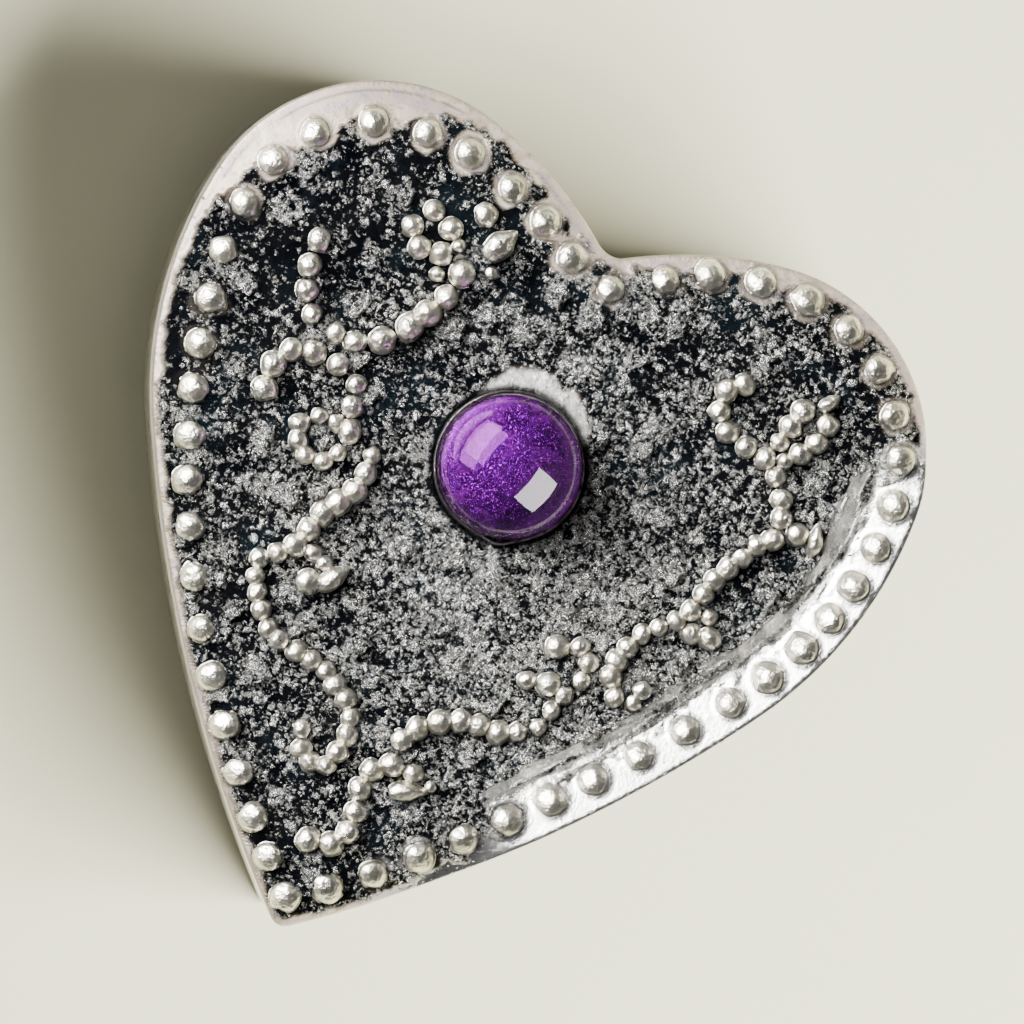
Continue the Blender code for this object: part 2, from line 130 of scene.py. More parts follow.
# Leaf clusters: separate beads fused together, as (u, v, radius along, radius across, turn in degrees).
LEAVES = {
    "leaf_upper_left_curl": (
        (-12.3, 48.3, 0.76, 0.74, 0), (-13.2, 46.7, 0.84, 0.8, 40), (-12.1, 45.6, 0.82, 0.8, 0),
        (-10.5, 45.9, 0.84, 0.8, 70), (-10.7, 47.7, 0.86, 0.82, 20), (-9.7, 46.9, 0.5, 0.5, 0),
        (-10.2, 44.5, 0.54, 0.5, 0)),
    "leaf_upper_left": (
        (-9.0, 49.6, 0.84, 0.82, 0), (-7.3, 48.0, 1.25, 0.95, 65), (-6.9, 46.2, 0.54, 0.5, 0)),
    "leaf_left": (
        (-9.3, 23.8, 0.64, 0.6, 0), (-8.3, 23.5, 0.6, 0.55, 0), (-7.4, 22.7, 1.15, 0.72, 60),
        (-8.7, 21.9, 0.98, 0.9, 30)),
    "leaf_lower_tip": (
        (3.5, 13.4, 0.72, 0.62, 20), (3.5, 12.0, 1.18, 0.76, 25), (5.0, 13.1, 0.42, 0.4, 0)),
    "leaf_lower_inner": (
        (9.1, 22.9, 0.9, 0.86, 0), (7.6, 22.5, 0.68, 0.62, 30)),
    "leaf_right": (
        (16.4, 47.3, 0.9, 0.86, 0), (16.1, 46.0, 0.84, 0.8, 20), (17.7, 48.5, 0.75, 0.5, 60),
        (18.3, 47.2, 0.84, 0.8, 0), (18.2, 45.8, 0.8, 0.76, 30), (17.5, 44.6, 0.78, 0.74, 0),
        (15.9, 44.7, 0.66, 0.62, 0), (16.8, 43.7, 0.6, 0.56, 0)),
    "leaf_right_bud": (
        (19.8, 39.6, 0.84, 0.8, 0), (21.1, 39.7, 0.95, 0.56, 105)),
    "leaf_right_low": (
        (16.9, 31.9, 0.6, 0.56, 0), (16.3, 30.3, 0.76, 0.72, 0), (17.6, 30.6, 0.86, 0.8, 0)),
}
# The polished facet on the right flank, where the rim was filed: it rises towards the edge.
# It comes in and goes out between the first and last pairs of shares.
FACET_SHARES = (0.66, 0.69, 0.885, 0.935)
FACET_EDGE_RISE = 0.38
FACET_SLOPE = 0.36
FACET_WIDTH = 3.6
FACET_STEP = 1.5
# Half the gap between the left and the right walls, on the heart's axis.
AXIS_GAP = 0.004
GEM_V = 35.0
GEM_RADIUS = 5.0
GEM_SEGMENTS = 128
# The crescent of bright metal that flowed round the setting: turn and reach in degrees, width.
FLOW_TURN = 90.0
FLOW_REACH = 50.0
FLOW_WIDTH = 1.5

# The velvet pads: how far their crown reaches in, and where their loops start to close on a point.
PAD_REACH = 16.0
PAD_INSET = 12.5
PAD_CENTRE = np.array([0.0, 33.0])

# The view from above: the heart's turn in the picture, and the camera's lean to picture left.
HEART_TURN = 26.4
CAMERA_LEAN = 4.8
CAMERA_LEAN_TURN = 163.0
CAMERA_DISTANCE = 600.0
VIEW_CENTRE = (1.62, 32.31)
VIEW_WIDTH = 69.7
SENSOR = 36.0

# The lights: turn in the picture and angle from straight up in degrees, distance and size in
# metres, watts, colour.
LIGHTS = {
    "key_window": (-34.0, 49.0, 0.50, (0.46, 0.27), 20.0, (1.0, 0.985, 0.93)),
    "shadow_fill": (160.0, 35.0, 0.60, (0.60, 0.60), 0.95, (1.0, 0.985, 0.95)),
    "shine_panel": (143.0, 58.0, 0.50, (0.50, 0.46), 23.0, (1.0, 0.985, 0.95)),
    "stone_window": (-40.0, 40.0, 0.50, (0.33, 0.28), 5.6, (1.0, 0.99, 0.97)),
}
LIGHT_TARGET = (0.0, 0.0, 0.02)
# The floor, in metres: half its size, and how far under the box it lies.
FLOOR_REACH = 1.5
FLOOR_GAP = 0.0001
# The dim room: its strength at the horizon and overhead, and where the paler band ends.
ROOM_STRENGTHS = (0.20, 0.06)
ROOM_BAND_TOP = 0.7
ROOM_COLOUR = (0.95, 0.97, 1.0, 1.0)


# ---------------------------------------------------------------------------------------------
# Repeatable noise on numpy arrays
# ---------------------------------------------------------------------------------------------
def hashed(ix, iy, seed):
    """A repeatable value from 0 to 1 for each pair of whole numbers."""
    value = np.sin(ix * 127.1 + iy * 311.7 + seed * 74.7) * 43758.5453
    return value - np.floor(value)


def value_noise(x, y, size, seed):
    """Smooth noise from 0 to 1, with lumps about size across."""
    px, py = x / size, y / size
    ix, iy = np.floor(px), np.floor(py)
    fx, fy = px - ix, py - iy
    fx, fy = fx * fx * (3 - 2 * fx), fy * fy * (3 - 2 * fy)
    low = hashed(ix, iy, seed) * (1 - fx) + hashed(ix + 1, iy, seed) * fx
    high = hashed(ix, iy + 1, seed) * (1 - fx) + hashed(ix + 1, iy + 1, seed) * fx
    return low * (1 - fy) + high * fy


def layered_noise(x, y, size, seed, layers=3):
    total, weight = 0.0, 0.0
    for layer in range(layers):
        share = 0.5 ** layer
        total = total + share * value_noise(x, y, size * share, seed + layer * 17)
        weight += share
    return total / weight


def grains(x, y, size, seed):
    """(height 0 to 1, own value 0 to 1) of round grains packed at about size."""
    px, py = x / size, y / size
    ix, iy = np.floor(px), np.floor(py)
    best = np.full(x.shape, 9.0)
    own = np.zeros(x.shape)
    for dx in (-1, 0, 1):
        for dy in (-1, 0, 1):
            cx, cy = ix + dx, iy + dy
            gx = cx + 0.15 + 0.7 * hashed(cx, cy, seed)
            gy = cy + 0.15 + 0.7 * hashed(cx, cy, seed + 5)
            distance = np.hypot(px - gx, py - gy)
            nearer = distance < best
            best = np.where(nearer, distance, best)
            own = np.where(nearer, hashed(cx, cy, seed + 11), own)
    return np.sqrt(np.clip(1.0 - (best / 0.72) ** 2, 0.0, 1.0)), own


def ramp(value, low, high):
    share = np.clip((value - low) / (high - low), 0.0, 1.0)
    return share * share * (3 - 2 * share)


def between(value, low, full, fade, high):
    """0 outside low and high, 1 from full to fade, and smooth in between."""
    return ramp(value, low, full) * (1.0 - ramp(value, fade, high))


# ---------------------------------------------------------------------------------------------
# The heart's outline
# ---------------------------------------------------------------------------------------------
def outline_half():
    """Points and inward directions of the right half, tip to cleft, in (u, v)."""
    u, v, heading = 0.0, 0.0, 0.0
    rows = [(u, v, 0.0, 1.0)]
    for radius, degrees in OUTLINE_ARCS:
        turn = math.radians(degrees)
        centre_u = u - radius * math.sin(heading)
        centre_v = v + radius * math.cos(heading)
        for step in range(1, ARC_STEPS + 1):
            angle = heading + turn * step / ARC_STEPS
            u = centre_u + radius * math.sin(angle)
            v = centre_v - radius * math.cos(angle)
            rows.append((u, v, -math.sin(angle), math.cos(angle)))
        heading += turn
    rows = np.array(rows)
    rows[:, 0] -= rows[-1, 0] * np.linspace(0.0, 1.0, len(rows))
    return rows


OUTLINE = outline_half()
MIDDLE = OUTLINE[:, 1].max() / 2.0
PLATE_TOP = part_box("lid_plate")[1].z / MM


def running_lengths(path):
    """The distance along a path of (u, v, ...) rows at each of them."""
    return np.concatenate([[0.0], np.cumsum(np.hypot(*np.diff(path[:, :2], axis=0).T))])


def half_loop(inset, segments):
    """The right half of the outline moved inwards by inset, evenly spaced, tip to cleft."""
    moved = OUTLINE[:, :2] + inset * OUTLINE[:, 2:]
    start = max(int(np.argmax(moved[:, 0] > 0.0)), 1)
    before, after = moved[start - 1], moved[start]
    share = before[0] / (before[0] - after[0]) if before[0] != after[0] else 0.0
    first = before + share * (after - before)
    path = np.vstack([first, moved[start:]])
    path[0, 0] = path[-1, 0] = 0.0
    lengths = running_lengths(path)
    even = np.linspace(0.0, lengths[-1], segments + 1)
    return np.column_stack([np.interp(even, lengths, path[:, 0]), np.interp(even, lengths, path[:, 1])])


def whole_loop(inset, segments):
    """The whole outline moved inwards, clockwise from the tip: up the left side, down the right."""
    right = half_loop(inset, segments)
    left = right * (-1.0, 1.0)
    return np.vstack([left, right[::-1][1:-1]])


def nearest_on_outline(points):
    """For each (u, v): its distance inside the outline, its share along it, and the point there."""
    loop = whole_loop(0.0, EDGE_STEPS)
    after = np.roll(loop, -1, axis=0)
    side = after - loop
    size = (side ** 2).sum(1)
    distance = np.full(len(points), 1e9)
    share = np.zeros(len(points))
    foot = np.zeros((len(points), 2))
    for index in range(len(loop)):
        away = points - loop[index]
        along = np.clip((away @ side[index]) / size[index], 0.0, 1.0)
        spot = loop[index] + along[:, None] * side[index]
        gap = np.hypot(*(points - spot).T)
        nearer = gap < distance
        distance[nearer] = gap[nearer]
        share[nearer] = (index + along[nearer]) / len(loop)
        foot[nearer] = spot[nearer]
    return distance, share, foot


def inside_outline(points):
    loop = whole_loop(0.0, EDGE_STEPS)
    inside = np.zeros(len(points), bool)
    for (u1, v1), (u2, v2) in zip(loop, np.roll(loop, -1, axis=0)):
        if v1 == v2:
            continue
        crosses = (v1 > points[:, 1]) != (v2 > points[:, 1])
        inside ^= crosses & (points[:, 0] < (u2 - u1) * (points[:, 1] - v1) / (v2 - v1) + u1)
    return inside


def shoulder_height(inset):
    """Height of the bare lid at a distance from its edge."""
    share = np.clip(1.0 - np.asarray(inset, float) / SHOULDER_WIDTH, 0.0, 1.0)
    return PLATE_TOP - SHOULDER_FALL * share ** SHOULDER_CURVE


def shoulder_slope(inset):
    share = np.clip(1.0 - np.asarray(inset, float) / SHOULDER_WIDTH, 0.0, 1.0)
    return SHOULDER_CURVE * SHOULDER_FALL * share ** (SHOULDER_CURVE - 1.0) / SHOULDER_WIDTH


def facet_weight(share):
    """How far the right flank's filed facet holds at a share of the outline."""
    return between(share, *FACET_SHARES)


def lid_height(inset, share):
    """Height of the lid's top: the falling shoulder, or the filed facet on the right flank."""
    inset = np.asarray(inset, float)
    facet = PLATE_TOP + FACET_EDGE_RISE - FACET_SLOPE * inset
    facet = facet + (PLATE_TOP - facet) * ramp(inset, FACET_WIDTH, FACET_WIDTH + FACET_STEP)
    weight = facet_weight(share)
    return shoulder_height(inset) * (1.0 - weight) + facet * weight


def lid_slope(inset, share):
    """Inward rise of the lid's top."""
    weight = facet_weight(share)
    return shoulder_slope(inset) * (1.0 - weight) - FACET_SLOPE * weight


# ---------------------------------------------------------------------------------------------
# Making pieces
# ---------------------------------------------------------------------------------------------
def make_piece(name, points, faces, material, attributes=None, sharp=None):
    """A mesh object from (u, v, height) points in millimetres."""
    points = np.asarray(points, float)
    world = np.column_stack([points[:, 0], points[:, 1] - MIDDLE, points[:, 2]]) * MM
    mesh = bpy.data.meshes.new(name)
    mesh.from_pydata(world.tolist(), [], [list(map(int, face)) for face in faces])
    for key, values in (attributes or {}).items():
        layer = mesh.attributes.new(key, "FLOAT", "POINT")
        layer.data.foreach_set("value", np.asarray(values, np.float32))
    mesh.materials.append(material)
    mesh.shade_smooth()
    if sharp:
        mesh.set_sharp_from_angle(angle=math.radians(sharp))
    mesh.update()
    obj = bpy.data.objects.new(name, mesh)
    bpy.context.scene.collection.objects.link(obj)
    return obj


def settle(obj, body, slot, *nodes):
    """The piece rides on a body and stands for CAD nodes. The slot is not used."""
    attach(obj, body)
    if nodes:
        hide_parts(*nodes)
    return obj


def ring_faces(low, high):
    """Quads between two closed rows of point numbers."""
    count = len(low)
    return [(low[i], low[(i + 1) % count], high[(i + 1) % count], high[i]) for i in range(count)]


def stacked_faces(levels, count, start=0, outward=True):
    """Quads between closed rows of count points, one row after another, and a cap at each end."""
    faces = []
    for level in range(levels - 1):
        low = list(range(start + level * count, start + (level + 1) * count))
        faces += ring_faces(low, [index + count for index in low])
    last = start + (levels - 1) * count
    faces.append([start + k for k in reversed(range(count))])
    faces.append([last + k for k in range(count)])
    return faces if outward else flipped(faces)


def flipped(faces):
    return [tuple(reversed(face)) for face in faces]


# ---------------------------------------------------------------------------------------------
# Materials
# ---------------------------------------------------------------------------------------------
class Shader:
    """A Principled material and short ways to add nodes to it."""

    def __init__(self, name, **sockets):
        self.material = bpy.data.materials.new(name)
        self.material.use_nodes = True
        self.tree = self.material.node_tree
        self.main = self.tree.nodes["Principled BSDF"]
        for key, value in sockets.items():
            self.main.inputs[key.replace("_", " ")].default_value = value
        self.place = self.add("ShaderNodeTexCoord").outputs["Object"]

    def add(self, kind, **values):
        node = self.tree.nodes.new(kind)
        for key, value in values.items():
            if hasattr(node, key):
                setattr(node, key, value)
            else:
                node.inputs[key.replace("_", " ")].default_value = value
        return node

    def link(self, source, target):
        self.tree.links.new(source, target)
        return target

    def noise(self, per_mm, detail=4.0, rough=0.55, stretch=None, distortion=0.0):
        node = self.add("ShaderNodeTexNoise", Scale=per_mm / MM, Detail=detail, Roughness=rough,
                        Distortion=distortion)
        source = self.place
        if stretch:
            mapping = self.add("ShaderNodeMapping")
            mapping.inputs["Scale"].default_value = stretch
            self.link(source, mapping.inputs["Vector"])
            source = mapping.outputs["Vector"]
        self.link(source, node.inputs["Vector"])
        return node.outputs["Fac"]

    def warp(self, per_mm, reach_mm):
        """Places moved about by noise, for cells with ragged outlines."""
        noise = self.add("ShaderNodeTexNoise", Scale=per_mm / MM, Detail=4.0, Roughness=0.65)
        self.link(self.place, noise.inputs["Vector"])
        centred = self.add("ShaderNodeVectorMath", operation="SUBTRACT")
        self.link(noise.outputs["Color"], centred.inputs[0])
        centred.inputs[1].default_value = (0.5, 0.5, 0.5)
        moved = self.add("ShaderNodeVectorMath", operation="MULTIPLY_ADD")
        self.link(centred.outputs[0], moved.inputs[0])
        moved.inputs[1].default_value = (reach_mm * MM,) * 3
        self.link(self.place, moved.inputs[2])
        return moved.outputs[0]

    def cells(self, per_mm, place):
        node = self.add("ShaderNodeTexVoronoi", Scale=per_mm / MM)
        self.link(place, node.inputs["Vector"])
        return node

    def attribute(self, name):
        return self.add("ShaderNodeAttribute", attribute_name=name).outputs["Fac"]

    def range(self, source, low, high, to_low=0.0, to_high=1.0):
        node = self.add("ShaderNodeMapRange")
        node.clamp = True
        for key, value in (("From Min", low), ("From Max", high), ("To Min", to_low), ("To Max", to_high)):
            node.inputs[key].default_value = value
        self.link(source, node.inputs["Value"])
        return node.outputs["Result"]

    def math(self, operation, first, second):
        node = self.add("ShaderNodeMath", operation=operation)
        for socket, value in zip(node.inputs, (first, second)):
            if isinstance(value, (int, float)):
                socket.default_value = value
            else:
                self.link(value, socket)
        return node.outputs["Value"]

    def times(self, first, second):
        return self.math("MULTIPLY", first, second)

    def plus(self, first, second):
        return self.math("ADD", first, second)

    def most(self, first, second):
        return self.math("MAXIMUM", first, second)

    def patches(self, per_mm, low, high, most=1.0, **noise):
        """Noise cut to patches: 0 below low, rising to most at high."""
        return self.range(self.noise(per_mm, **noise), low, high, 0.0, most)

    def mix(self, share, first, second):
        """A colour between two, each a colour or a socket."""
        node = self.add("ShaderNodeMix", data_type="RGBA")
        self.link(share, node.inputs["Factor"])
        for key, value in (("A", first), ("B", second)):
            socket = next(s for s in node.inputs if s.name == key and s.type == "RGBA")
            if isinstance(value, tuple):
                socket.default_value = (*value, 1.0)
            else:
                self.link(value, socket)
        return next(s for s in node.outputs if s.type == "RGBA")

    def blend(self, share, first, second):
        """A number between those of two sockets."""
        node = self.add("ShaderNodeMix", data_type="FLOAT")
        for index, source in ((0, share), (2, first), (3, second)):
            self.link(source, node.inputs[index])
        return node.outputs[0]

    def bump(self, height, distance_mm, strength=1.0, under=None):
        node = self.add("ShaderNodeBump", Strength=strength)
        node.inputs["Distance"].default_value = distance_mm * MM
        self.link(height, node.inputs["Height"])
        if under is not None:
            self.link(under, node.inputs["Normal"])
        return node.outputs["Normal"]

    def finish(self, colour, normal, **others):
        """Links the shader's sockets and gives the material."""
        self.link(colour, self.main.inputs["Base Color"])
        self.link(normal, self.main.inputs["Normal"])
        for key, source in others.items():
            self.link(source, self.main.inputs[key])
        return self.material


# What the lid's skin carries at each of its points, from 0 to 1.
SKIN_ATTRIBUTES = ("matt", "smooth", "wear", "painted_shade", "stain")


def skin_material():
    """Granular oxidised silver with bright grains, smooth worn metal where the band is; painted shade in
    corners and creases.
    """
    s = Shader("oxidised_silver_skin")
    matt, smooth, wear, painted_shade, stained = (s.attribute(name) for name in SKIN_ATTRIBUTES)
    fine = s.noise(5.0, detail=5.0, rough=0.75)
    crisp = s.noise(8.0, detail=4.0, rough=0.7)
    ragged = s.times(s.math("SUBTRACT", fine, 0.5), 0.7)
    warped = s.warp(2.2, 0.9)

    def speck(per_mm, low, high):
        """(colour, height) of bright grains: more of them where the metal is worn."""
        cell = s.cells(per_mm, warped)
        split = s.add("ShaderNodeSeparateColor")
        s.link(cell.outputs["Color"], split.inputs[0])
        away = s.plus(cell.outputs["Distance"], ragged)
        shape = s.range(away, low, high, 1.0, 0.0)
        dome = s.range(away, -0.05, high + 0.08, 1.0, 0.0)
        there = s.range(s.math("SUBTRACT", wear, split.outputs[0]), -0.05, 0.05)
        own = s.range(split.outputs[1], 0.0, 0.8, 0.35, 1.0)
        return s.times(s.times(shape, there), own), s.times(dome, there)

    large, large_dome = speck(1.8, 0.30, 0.60)
    medium, medium_dome = speck(3.0, 0.30, 0.58)
    small, small_dome = speck(4.8, 0.28, 0.56)
    grain = s.most(s.most(large, medium), s.times(small, 0.85))
    # Painted shade: no bright grains where the corners and creases are darkened.
    grain = s.times(grain, s.range(crisp, 0.42, 0.54, 0.06, 1.0))
    grain = s.times(grain, s.range(painted_shade, 0.0, 1.0, 1.0, 0.0))
    toned = s.mix(s.patches(0.3, 0.35, 0.65), (0.0012, 0.0018, 0.0032), (0.0045, 0.0050, 0.0060))
    bluish = s.patches(0.22, 0.52, 0.70, 0.6, detail=3.0)
    toned = s.mix(bluish, toned, (0.007, 0.014, 0.019))
    field = s.mix(grain, toned, (1.0, 1.0, 0.98))
    stain = s.patches(0.9, 0.40, 0.66, detail=6.0, rough=0.65)
    rusty = s.mix(stain, (0.50, 0.445, 0.37), (0.33, 0.26, 0.20))
    dulled = s.mix(stained, rusty, s.mix(stain, (0.40, 0.32, 0.25), (0.30, 0.27, 0.30)))
    metal = s.mix(matt, (0.97, 0.96, 0.95), dulled)
    metal = s.mix(s.patches(3.2, 0.60, 0.68, 0.6), metal, (0.12, 0.11, 0.11))
    # Painted shade: the smooth metal goes nearly black in the corners and creases.
    metal = s.mix(s.times(painted_shade, 0.9), metal, (0.02, 0.02, 0.025))
    rough_field = s.range(grain, 0.0, 0.5, 0.55, 0.25)
    rough_metal = s.range(matt, 0.0, 1.0, 0.27, 0.50)
    domes = s.most(s.most(large_dome, medium_dome), s.times(small_dome, 0.7))
    lumps = s.plus(domes, s.plus(s.times(fine, 0.8), s.times(crisp, 0.35)))
    lumps = s.times(lumps, s.range(smooth, 0.0, 1.0, 1.0, 0.05))
    metallic = s.range(s.times(smooth, matt), 0.0, 1.0, 1.0, 0.55)
    return s.finish(s.mix(smooth, field, metal), s.bump(lumps, 0.34), Metallic=metallic,
                    Roughness=s.blend(smooth, rough_field, rough_metal))


def bead_material(name, bright=(0.95, 0.92, 0.82), dull=(0.66, 0.62, 0.51)):
    """Pickled, tumbled silver: half matt, with painted shade darkening its groove and its foot."""
    s = Shader(name, Metallic=1.0)
    cloud = s.patches(0.8, 0.38, 0.66, detail=5.0, rough=0.6)
    scuff = s.noise(3.5, detail=4.0, rough=0.6)
    metal = s.mix(cloud, bright, dull)
    metal = s.mix(s.range(scuff, 0.60, 0.74, 0.0, 0.35), metal, (0.30, 0.28, 0.25))
    # Painted shade in the groove and at the foot, broken up by the scuffs.
    groove_shade = s.times(s.attribute("groove_shade"), s.range(scuff, 0.2, 0.6, 0.5, 1.0))
    dents = s.bump(s.noise(1.3, detail=3.0, rough=0.6), 0.30, 0.7)
    return s.finish(s.mix(groove_shade, metal, (0.05, 0.048, 0.048)), s.bump(scuff, 0.05, 0.8, dents),
                    Roughness=s.range(cloud, 0.0, 1.0, 0.27, 0.38))


def wall_material(name, bright, dull, scratch):
    """Sheet silver: soft stains, short scratches that run round the box, and small pits."""
    s = Shader(name, Metallic=1.0)
    stain = s.patches(0.35, 0.36, 0.66, detail=6.0, rough=0.62)
    scratches = s.noise(6.0, detail=3.0, rough=0.7, stretch=(0.06, 0.06, 1.0))
    pits = s.patches(2.6, 0.62, 0.70, 0.6, detail=5.0, rough=0.6)
    metal = s.mix(pits, s.mix(stain, bright, dull), (0.16, 0.14, 0.12))
    metal = s.mix(s.range(scratches, 0.58, 0.74, 0.0, scratch), metal, (0.93, 0.92, 0.90))
    waves = s.bump(s.noise(0.7, detail=3.0), 0.10, 0.5)
    return s.finish(metal, s.bump(scratches, 0.015, 0.55, waves),
                    Roughness=s.range(s.plus(stain, scratches), 0.4, 1.5, 0.24, 0.46))


def foil_material():
    """Crinkled violet foil behind the stone: deep in the middle, bright and pleated at its rim."""
    s = Shader("violet_foil_crinkled", Metallic=1.0)
    cloud = s.noise(0.7, detail=5.0, rough=0.6)
    patches = s.range(cloud, 0.36, 0.64)
    deep = s.mix(patches, (0.050, 0.0022, 0.080), (0.095, 0.007, 0.130))
    tone = s.mix(s.attribute("rim"), deep, s.mix(patches, (0.22, 0.020, 0.28), (0.36, 0.060, 0.42)))
    glitter = s.patches(9.0, 0.56, 0.68, 0.6, detail=3.0)
    crinkle = s.bump(s.noise(3.0, detail=6.0, rough=0.65), 0.24)
    return s.finish(s.mix(glitter, tone, (0.90, 0.45, 0.85)),
                    s.bump(s.attribute("pleat"), 0.10, 0.9, crinkle),
                    Roughness=s.range(cloud, 0.3, 0.7, 0.20, 0.32))


def stone_material():
    """Clear violet glass, deeper in patches, as in a natural stone."""
    s = Shader("violet_glass", Transmission_Weight=1.0, IOR=1.54, Roughness=0.02)
    zone = s.patches(0.16, 0.34, 0.66, detail=4.0, rough=0.6)
    return s.finish(s.mix(zone, (0.55, 0.10, 0.68), (0.66, 0.18, 0.78)),
                    s.bump(s.noise(0.5, detail=2.0), 0.01, 0.4))


def velvet_material():
    """Short plum pile, brushed lighter in places."""
    s = Shader("plum_velvet", Roughness=0.95, Sheen_Weight=0.8, Sheen_Roughness=0.35,
               Sheen_Tint=(0.80, 0.45, 0.90, 1.0), Specular_IOR_Level=0.1)
    brushed = s.patches(0.16, 0.36, 0.66, detail=5.0, rough=0.6, distortion=0.8)
    pile = s.noise(9.0, detail=2.0)
    nap = s.mix(brushed, (0.050, 0.008, 0.062), (0.120, 0.024, 0.140))
    return s.finish(s.mix(s.range(pile, 0.35, 0.65, 0.0, 0.6), nap, (0.020, 0.003, 0.026)),
                    s.bump(pile, 0.10, 0.9, s.bump(brushed, 0.25, 0.4)))


def card_material():
    """Plain grey card with a visible fibre."""
    s = Shader("lining_card", Roughness=0.9, Specular_IOR_Level=0.2)
    fibre = s.noise(2.5, detail=6.0, rough=0.7, stretch=(1.0, 0.3, 1.0))
    return s.finish(s.mix(s.range(fibre, 0.35, 0.65), (0.20, 0.19, 0.17), (0.34, 0.32, 0.28)),
                    s.bump(fibre, 0.05, 0.6))


def floor_material():
    s = Shader("pale_floor", Roughness=0.55, Specular_IOR_Level=0.25)
    tone = s.mix(s.noise(0.02, detail=4.0), (0.57, 0.565, 0.405), (0.61, 0.605, 0.44))
    s.link(tone, s.main.inputs["Base Color"])
    return s.material


# ---------------------------------------------------------------------------------------------
# Beads
# ---------------------------------------------------------------------------------------------
# Half section of a bead, as shares of its radius: a thin foot ring, a shallow groove and the dome.
BEAD_PROFILE = ((0.99, -0.14), (1.02, 0.0), (1.0, 0.05), (0.965, 0.07), (0.94, 0.08), (0.925, 0.13),
                (0.89, 0.25), (0.83, 0.37), (0.745, 0.48), (0.63, 0.585), (0.5, 0.67), (0.36, 0.735),
                (0.23, 0.775), (0.12, 0.795), (0.04, 0.80))
# How much painted shade each ring of the section gets: most at the foot and in its groove.
GROOVE_SHADE = (1.0, 0.5, 0.1, 0.4, 0.6, 0.35, 0.1, 0.0, 0.0, 0.0, 0.0, 0.0, 0.0, 0.0, 0.0)
BEAD_SIDES = 30


class Beads:
    """Collects the domes of one piece."""

    def __init__(self, seed):
        self.points = []
        self.faces = []
        self.groove_shade = []
        self.random = np.random.default_rng(seed)

    def add(self, u, v, along, across=None, turn=0.0, height=None, lean=(0.0, 0.0), tall=1.0):
        """A dome at (u, v), with its radii, its turn and the slope that it stands on."""
        across = along if across is None else across
        rnd = self.random
        base = PLATE_TOP if height is None else height
        start = len(self.points)
        wobble = rnd.uniform(-0.03, 0.03, 4)
        phase = rnd.uniform(0.0, 2.0 * math.pi, 4)
        peak = rnd.uniform(-0.10, 0.10, 2)
        # Some beads carry a nub where the solder ran out.
        nub = rnd.uniform(0.08, 0.24) * (rnd.uniform() < 0.4)
        nub_angle = rnd.uniform(0.0, 2.0 * math.pi)
        tall = tall * rnd.uniform(0.92, 1.1)
        dents = [(rnd.uniform(0, 2 * math.pi), rnd.uniform(0.2, 0.85), rnd.uniform(-0.07, 0.05))
                 for _ in range(6)]
        cosine, sine = math.cos(math.radians(turn)), math.sin(math.radians(turn))
        mean = (along + across) / 2.0
        tail = 0.35 * min(1.0, max(0.0, along / across - 1.12) / 0.2)
        for (reach, rise), groove_shade in zip(BEAD_PROFILE, GROOVE_SHADE):
            for side in range(BEAD_SIDES):
                angle = 2.0 * math.pi * side / BEAD_SIDES
                swell = 1.0 + sum(w * math.cos((k + 2) * angle + p)
                                  for k, (w, p) in enumerate(zip(wobble, phase)))
                pointed = 1.0 + tail * max(0.0, math.cos(angle)) ** 7
                if rise < 0.3:
                    pointed += nub * max(0.0, math.cos(angle - nub_angle)) ** 24
                x = reach * swell * pointed * math.cos(angle) + peak[0] * (1.0 - reach) * 0.6
                y = reach * swell * math.sin(angle) + peak[1] * (1.0 - reach) * 0.6
                z = rise * tall
                for dent_angle, dent_reach, depth in dents:
                    away = math.hypot(x - dent_reach * math.cos(dent_angle),
                                      y - dent_reach * math.sin(dent_angle))
                    z += depth * math.exp(-(away / 0.26) ** 2) * min(1.0, max(0.0, rise * 3.0))
                du, dv = x * along, y * across
                du, dv = du * cosine - dv * sine, du * sine + dv * cosine
                self.points.append((u + du, v + dv, base + z * mean + lean[0] * du + lean[1] * dv))
                self.groove_shade.append(groove_shade)
        self.faces += stacked_faces(len(BEAD_PROFILE), BEAD_SIDES, start)

    def piece(self, name, material):
        return make_piece(name, self.points, self.faces, material, {"groove_shade": self.groove_shade})


def even_value(values, share):
    """The value at a share of evenly spaced ones."""
    return float(np.interp(share, np.linspace(0.0, 1.0, len(values)), values))


def border_beads(side, count, insets, slips, ends, seed):
    """Places of one half of the border row: (u, v, radius, (inset, outline share), inward)."""
    rnd = np.random.default_rng(seed)
    lengths = running_lengths(OUTLINE)
    places = []
    for share in np.linspace(0.0, 1.0, count):
        even = ends[0] + share * (lengths[-1] - ends[0] - ends[1])
        distance = even + even_value(slips, share) + rnd.uniform(-0.06, 0.06)
        inset = even_value(insets, share) + rnd.uniform(-0.05, 0.05)
        u, v, nu, nv = (float(np.interp(distance, lengths, OUTLINE[:, k])) for k in range(4))
        radius = BORDER_RADIUS * rnd.uniform(0.92, 1.07)
        left_share = 0.5 * distance / lengths[-1]
        spot = (inset, left_share if side < 0 else 1.0 - left_share)
        places.append((side * (u + nu * inset), v + nv * inset, radius, spot, (side * nu, nv)))
    return places


LEFT_PLACES = border_beads(-1.0, LEFT_BEADS, LEFT_INSETS, LEFT_SLIP, LEFT_ENDS, 3)
RIGHT_PLACES = border_beads(1.0, RIGHT_BEADS, RIGHT_INSETS, RIGHT_SLIP, RIGHT_ENDS, 4)


def smooth_curve(knots):
    """A Catmull-Rom curve through rows of numbers."""
    knots = np.asarray(knots, float)
    padded = np.vstack([2 * knots[0] - knots[1], knots, 2 * knots[-1] - knots[-2]])
    rows = [knots[0]]
    for index in range(1, len(padded) - 2):
        a, b, c, d = padded[index - 1:index + 3]
        for t in np.linspace(0.0, 1.0, CURVE_STEPS + 1)[1:]:
            rows.append(0.5 * (2 * b + (c - a) * t + (2 * a - 5 * b + 4 * c - d) * t * t
                               + (3 * b - a - 3 * c + d) * t ** 3))
    return np.array(rows)


